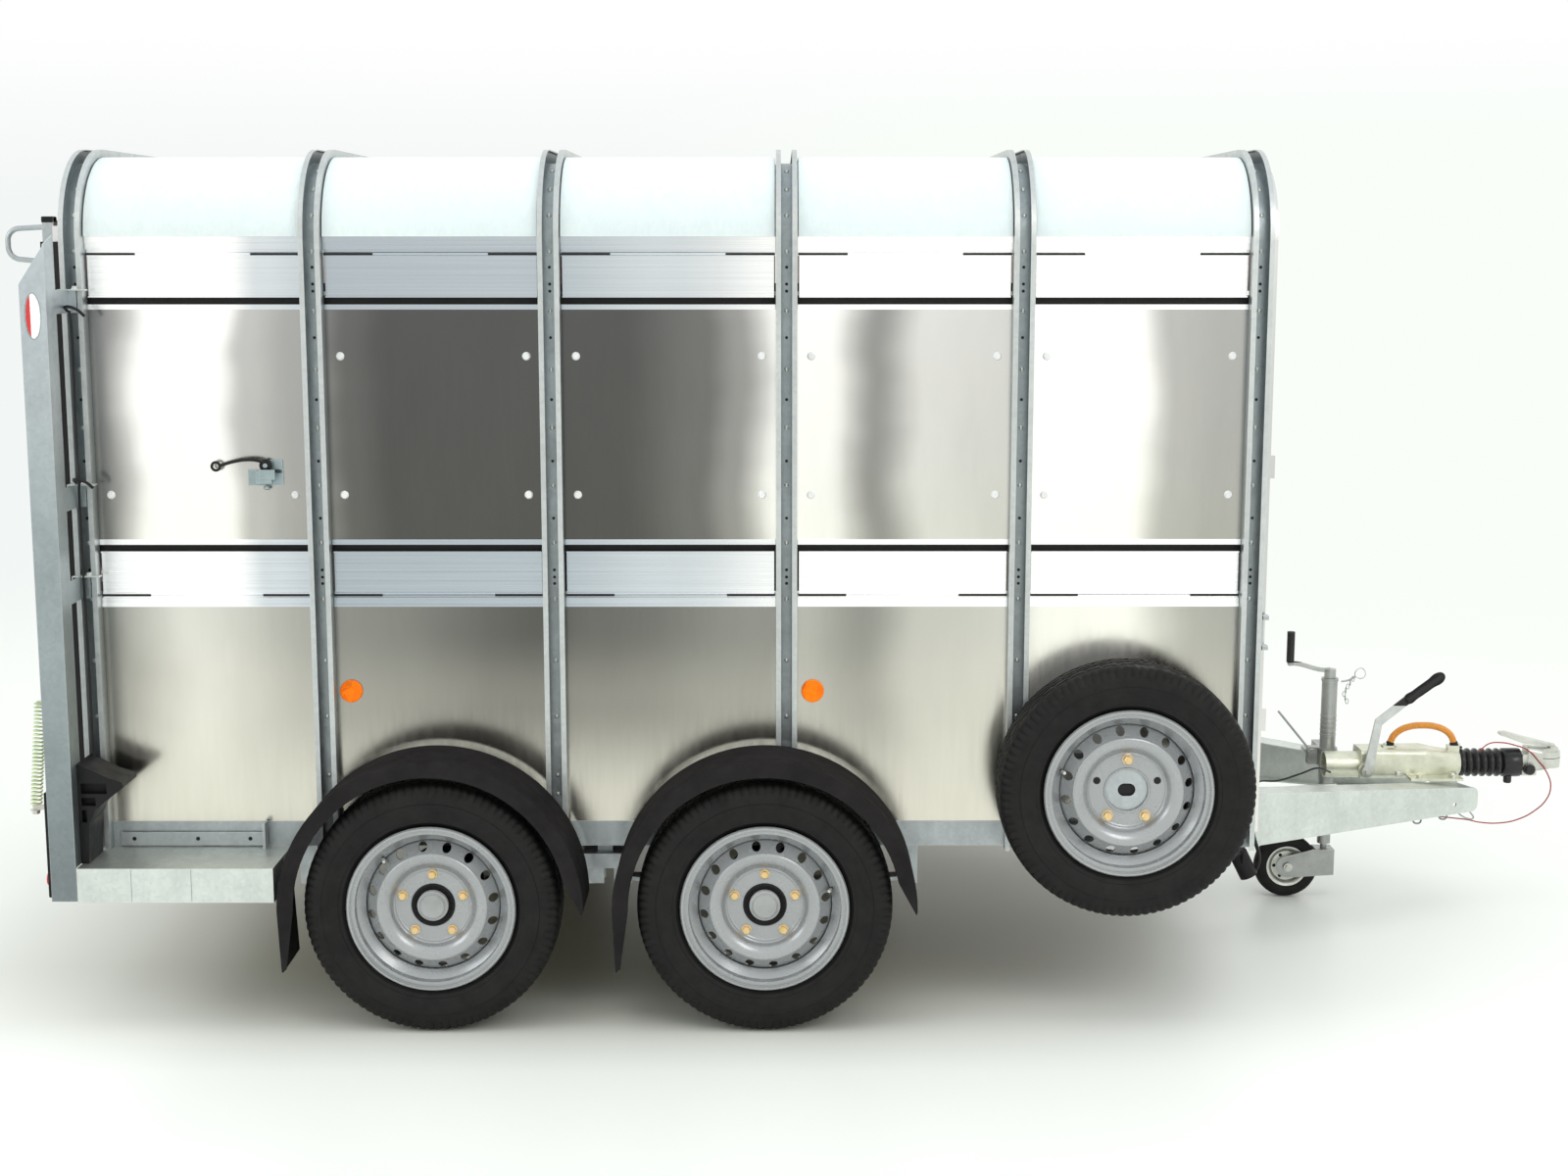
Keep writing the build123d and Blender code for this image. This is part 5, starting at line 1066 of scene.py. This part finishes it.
# (end of the grip, distance along it, distance up from its middle line)
GRIP_LOOP = ((GRIP_A, 0.0, -0.006), (GRIP_A, 0.030, -0.0085), (GRIP_A, 0.085, -0.0095), (GRIP_B, 0.0, -0.009),
             (GRIP_B, 0.004, 0.0), (GRIP_B, -0.004, 0.0085), (GRIP_A, 0.085, 0.0085), (GRIP_A, 0.030, 0.0080),
             (GRIP_A, 0.0, 0.006))
loop = [tuple(end + along * grip_line + up * grip_up) for end, along, up in GRIP_LOOP]
wire("handbrake_grip_loop", loop, 0.0068, "handbrake", black_plastic, cyclic=True)
repaint("handbrake_lever", split_by_height("handbrake_finish", 0.648, (0.58, 0.59, 0.585), GRIP_BLACK))


# ---- Jockey wheel -------------------------------------------------------------------------
JOCKEY = Vector((2.072, 0.085, 0.100))
repaint("jockey_crank", split_by_height("crank_finish", 0.7505, (0.46, 0.47, 0.46), GRIP_BLACK))


def flipped(half):
    """Mirror image of a profile's half, in the order that goes on from it."""
    return tuple((radius, -along) for radius, along in reversed(half))


JOCKEY_TYRE = ((0.062, -0.018), (0.066, -0.0235), (0.076, -0.0248), (0.088, -0.0240), (0.0955, -0.0190),
               (0.0992, -0.010))
JOCKEY_RIM = ((0.013, -0.0245), (0.019, -0.0240), (0.022, -0.016), (0.030, -0.0105), (0.047, -0.0105),
              (0.053, -0.017), (0.0600, -0.0225), (0.0640, -0.0225))
profile = (*JOCKEY_TYRE, (0.0998, 0), *flipped(JOCKEY_TYRE))
tyre = lathe_piece("jockey_tyre", profile, JOCKEY, (0, 1, 0), 72, "jockey_wheel_body", rubber, True, 50)
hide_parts("jockey_wheel")
profile = (*JOCKEY_RIM, *flipped(JOCKEY_RIM))
lathe_piece("jockey_rim", profile, JOCKEY, (0, 1, 0), 64, "jockey_wheel_body", zinc)
bm = bmesh.new()
for side in (-1, 1):
    for i in range(6):
        add_lathe(bm, hole_shade_disc(0.0055), JOCKEY + around(0.0385, 60 * i, side * 0.0104), (0, side, 0), 16)
piece("jockey_rim_holes", bm, "jockey_wheel_body", cable_black, False)
bm = bmesh.new()
fork_half = abs(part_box("jockey_fork")[1][1] - JOCKEY.y)
for side in (-1, 1):
    add_hex_bolt(bm, JOCKEY + Vector((0, side * (fork_half + 0.0002), 0)), (0, side, 0), 0.019, 0.009, 0.014)
piece("jockey_axle_nuts", bm, "jockey_fork_body", zinc)


# Linch pin, ring and short chain hanging at the front of the tube's head
def linch_ring_point(a):
    """Place on the slightly bent ring of the linch pin."""
    return 2.284 + 0.0165 * math.cos(a), JOCKEY.y + 0.004 * math.sin(2 * a), 0.716 + 0.0165 * math.sin(a)


def chain_link_point(a, x, z, across):
    """Place on a link that lies along the trailer or, if across, square to it."""
    out = 0.0045 * math.cos(a)
    return x + (0 if across else out), JOCKEY.y + (out if across else 0), z + 0.0085 * math.sin(a)


ring = closed_loop(28, linch_ring_point)
wire("linch_ring", ring, 0.0016, "jockey_outer", zinc, cyclic=True, smooth=False)
pin = [(2.270, JOCKEY.y, 0.706), (2.248, JOCKEY.y, 0.694), (2.226, JOCKEY.y, 0.690)]
wire("linch_pin", pin, 0.0030, "jockey_outer", zinc_grey)
LINKS = ((2.262, 0.698), (2.254, 0.686), (2.247, 0.674), (2.241, 0.662), (2.236, 0.650), (2.240, 0.638),
         (2.246, 0.627))
for i, (x, z) in enumerate(LINKS):
    link = closed_loop(14, lambda a: chain_link_point(a, x, z, i % 2))
    wire(f"chain_link_{i + 1}", link, 0.0012, "jockey_outer", zinc_grey, cyclic=True, smooth=False)


# ---- Plug lead and spare wheel carrier ----------------------------------------------------
path = [(1.800, -0.600, 0.262), (1.830, -0.600, 0.300), (1.815, -0.600, 0.380), (1.800, -0.600, 0.430)]
wire("plug_lead", path, 0.0055, BODY, cable_black)

# Pale plate behind the spare wheel's hub opening, and dark discs of painted shade in its oval hole and the
# open bolt holes
PLATE = ((0, 0), (0.060, 0), (0.060, 0.003), (0, 0.003))
plate_centre = SPARE + Vector((0, -0.017, 0))
lathe_piece("spare_carrier_plate", PLATE, plate_centre, (0, -1, 0), 48, BODY, galv_painted_light, False)
bm = bmesh.new()
oval = bmesh.ops.create_circle(bm, cap_ends=True, segments=36, radius=1.0)["verts"]
place = Matrix.Translation(SPARE + Vector((0, -0.0205, 0))) @ turned((0, -1, 0))
for vert in oval:
    vert.co = place @ Vector((0.027 * vert.co.x, 0.021 * vert.co.y, 0))
add_lathe(bm, hole_shade_disc(0.006), SPARE + Vector((0, -0.020, -0.045)), (0, -1, 0), 20)
for degrees in (18, 162):
    add_lathe(bm, hole_shade_disc(0.0095), SPARE + around(STUD_CIRCLE, degrees, -STUD_SEAT), (0, -1, 0), 24)
piece("spare_holes", bm, BODY, cable_black, False)


# ---- Studio -------------------------------------------------------------------------------
scene = bpy.context.scene
scene.view_settings.view_transform = "Standard"
HORIZON_LEFT = (0.890, 0.925, 0.910)
HORIZON_RIGHT = (0.955, 0.990, 0.940)
FLOOR_COLOR = (0.865, 0.890, 0.860)
SHADE_COLOR = (0.46, 0.46, 0.36)
FLOOR_REACH = 60.0


def sky():
    """Surroundings that light the trailer softly and show the camera a pale studio wall."""
    world = bpy.data.worlds.new("studio")
    world.use_nodes = True
    graph = Graph(world.node_tree, "Generated")
    height = graph.axis("Z")
    seen = graph.ramp(height, ((0.02, HORIZON_LEFT), (0.09, 1.0)))
    seen = graph.mix(graph.span(graph.axis("X"), -0.066, 0.066), seen, HORIZON_RIGHT, "LIGHTEN")
    shades = ((0.0, (0.80, 0.80, 0.72)), (0.5, (1.07, 1.06, 1.00)), (1.0, (1.04, 1.08, 1.09)))
    lit = graph.ramp(graph.span(height, -1.0, 1.0), shades)
    on_camera = graph.add("ShaderNodeLightPath").outputs["Is Camera Ray"]
    graph.link(graph.mix(on_camera, lit, seen), graph.tree.nodes["Background"].inputs["Color"])
    return world


def studio_floor():
    """Pale floor with a painted olive shadow under the trailer, which fades into the wall's colour far out.
    """
    paint = Paint("studio_floor", roughness=0.35)
    paint.set("Specular IOR Level", 0.35)
    paint.bump(paint.noise(3.0, 4.0), 0.05, 0.01)
    # Painted shadow: an olive shade mixed into the floor's colour under the trailer
    shade_x = paint.span(paint.math("ABSOLUTE", paint.math("ADD", paint.axis("X"), 0.10)), 1.9, 0.7)
    shade_y = paint.span(paint.math("ABSOLUTE", paint.axis("Y")), 1.4, 0.6)
    paint.set("Base Color", paint.mix(paint.math("MULTIPLY", shade_x, shade_y), FLOOR_COLOR, SHADE_COLOR))
    distance = paint.add("ShaderNodeVectorMath", operation="LENGTH")
    paint.link(paint.coords, distance.inputs[0])
    away = paint.add("ShaderNodeMapRange", interpolation_type="SMOOTHSTEP")
    paint.link(distance.outputs["Value"], away.inputs["Value"])
    away.inputs["From Min"].default_value = 3.0
    away.inputs["From Max"].default_value = 9.0
    glow = paint.add("ShaderNodeEmission")
    wall = paint.mix(paint.span(paint.axis("X"), -4.0, 4.0), HORIZON_LEFT, HORIZON_RIGHT)
    paint.link(wall, glow.inputs["Color"])
    blend = paint.add("ShaderNodeMixShader")
    sources = (away.outputs["Result"], paint.shader.outputs[0], glow.outputs[0])
    for source, socket in zip(sources, blend.inputs):
        paint.link(source, socket)
    paint.link(blend.outputs[0], paint.tree.nodes["Material Output"].inputs["Surface"])
    return paint.material


scene.world = sky()
floor_mesh = bpy.data.meshes.new("floor")
corners = [(x * FLOOR_REACH, y * FLOOR_REACH, 0) for x, y in ((-1, -1), (1, -1), (1, 1), (-1, 1))]
floor_mesh.from_pydata(corners, [], [(0, 1, 2, 3)])
floor_mesh.materials.append(studio_floor())
floor = bpy.data.objects.new("floor", floor_mesh)
scene.collection.objects.link(floor)


def softbox(name, place, aim, size, power, tint=(1, 1, 1), mirrored=True):
    """Rectangular lamp that faces a point; the camera never sees it."""
    light = bpy.data.lights.new(name, "AREA")
    light.shape = "RECTANGLE"
    light.size, light.size_y = size
    light.energy = power
    light.color = tint
    obj = bpy.data.objects.new(name, light)
    obj.location = place
    obj.rotation_euler = (Vector(aim) - Vector(place)).to_track_quat("-Z", "Y").to_euler()
    scene.collection.objects.link(obj)
    obj.visible_camera = False
    obj.visible_glossy = mirrored


softbox("top_light", (0.2, -1.5, 5.5), (0.2, 0, 0.8), (6.0, 3.0), 80, mirrored=False)
softbox("key_light", (3.5, -5.5, 4.5), (0.3, 0, 1.0), (3.0, 2.5), 70, (1.0, 0.98, 0.95))
softbox("side_light", (-5.5, -3.5, 3.5), (-0.5, 0, 1.0), (3.0, 2.5), 50, (0.95, 0.98, 1.0))

camera = bpy.data.cameras.new("camera")
camera.lens = 49.64
camera.sensor_width = 36.0
camera_object = bpy.data.objects.new("camera", camera)
camera_object.location = (0.4715, -6.535, 2.037)
camera_object.rotation_euler = (math.radians(80.98), 0, math.radians(-0.12))
scene.collection.objects.link(camera_object)
scene.camera = camera_object
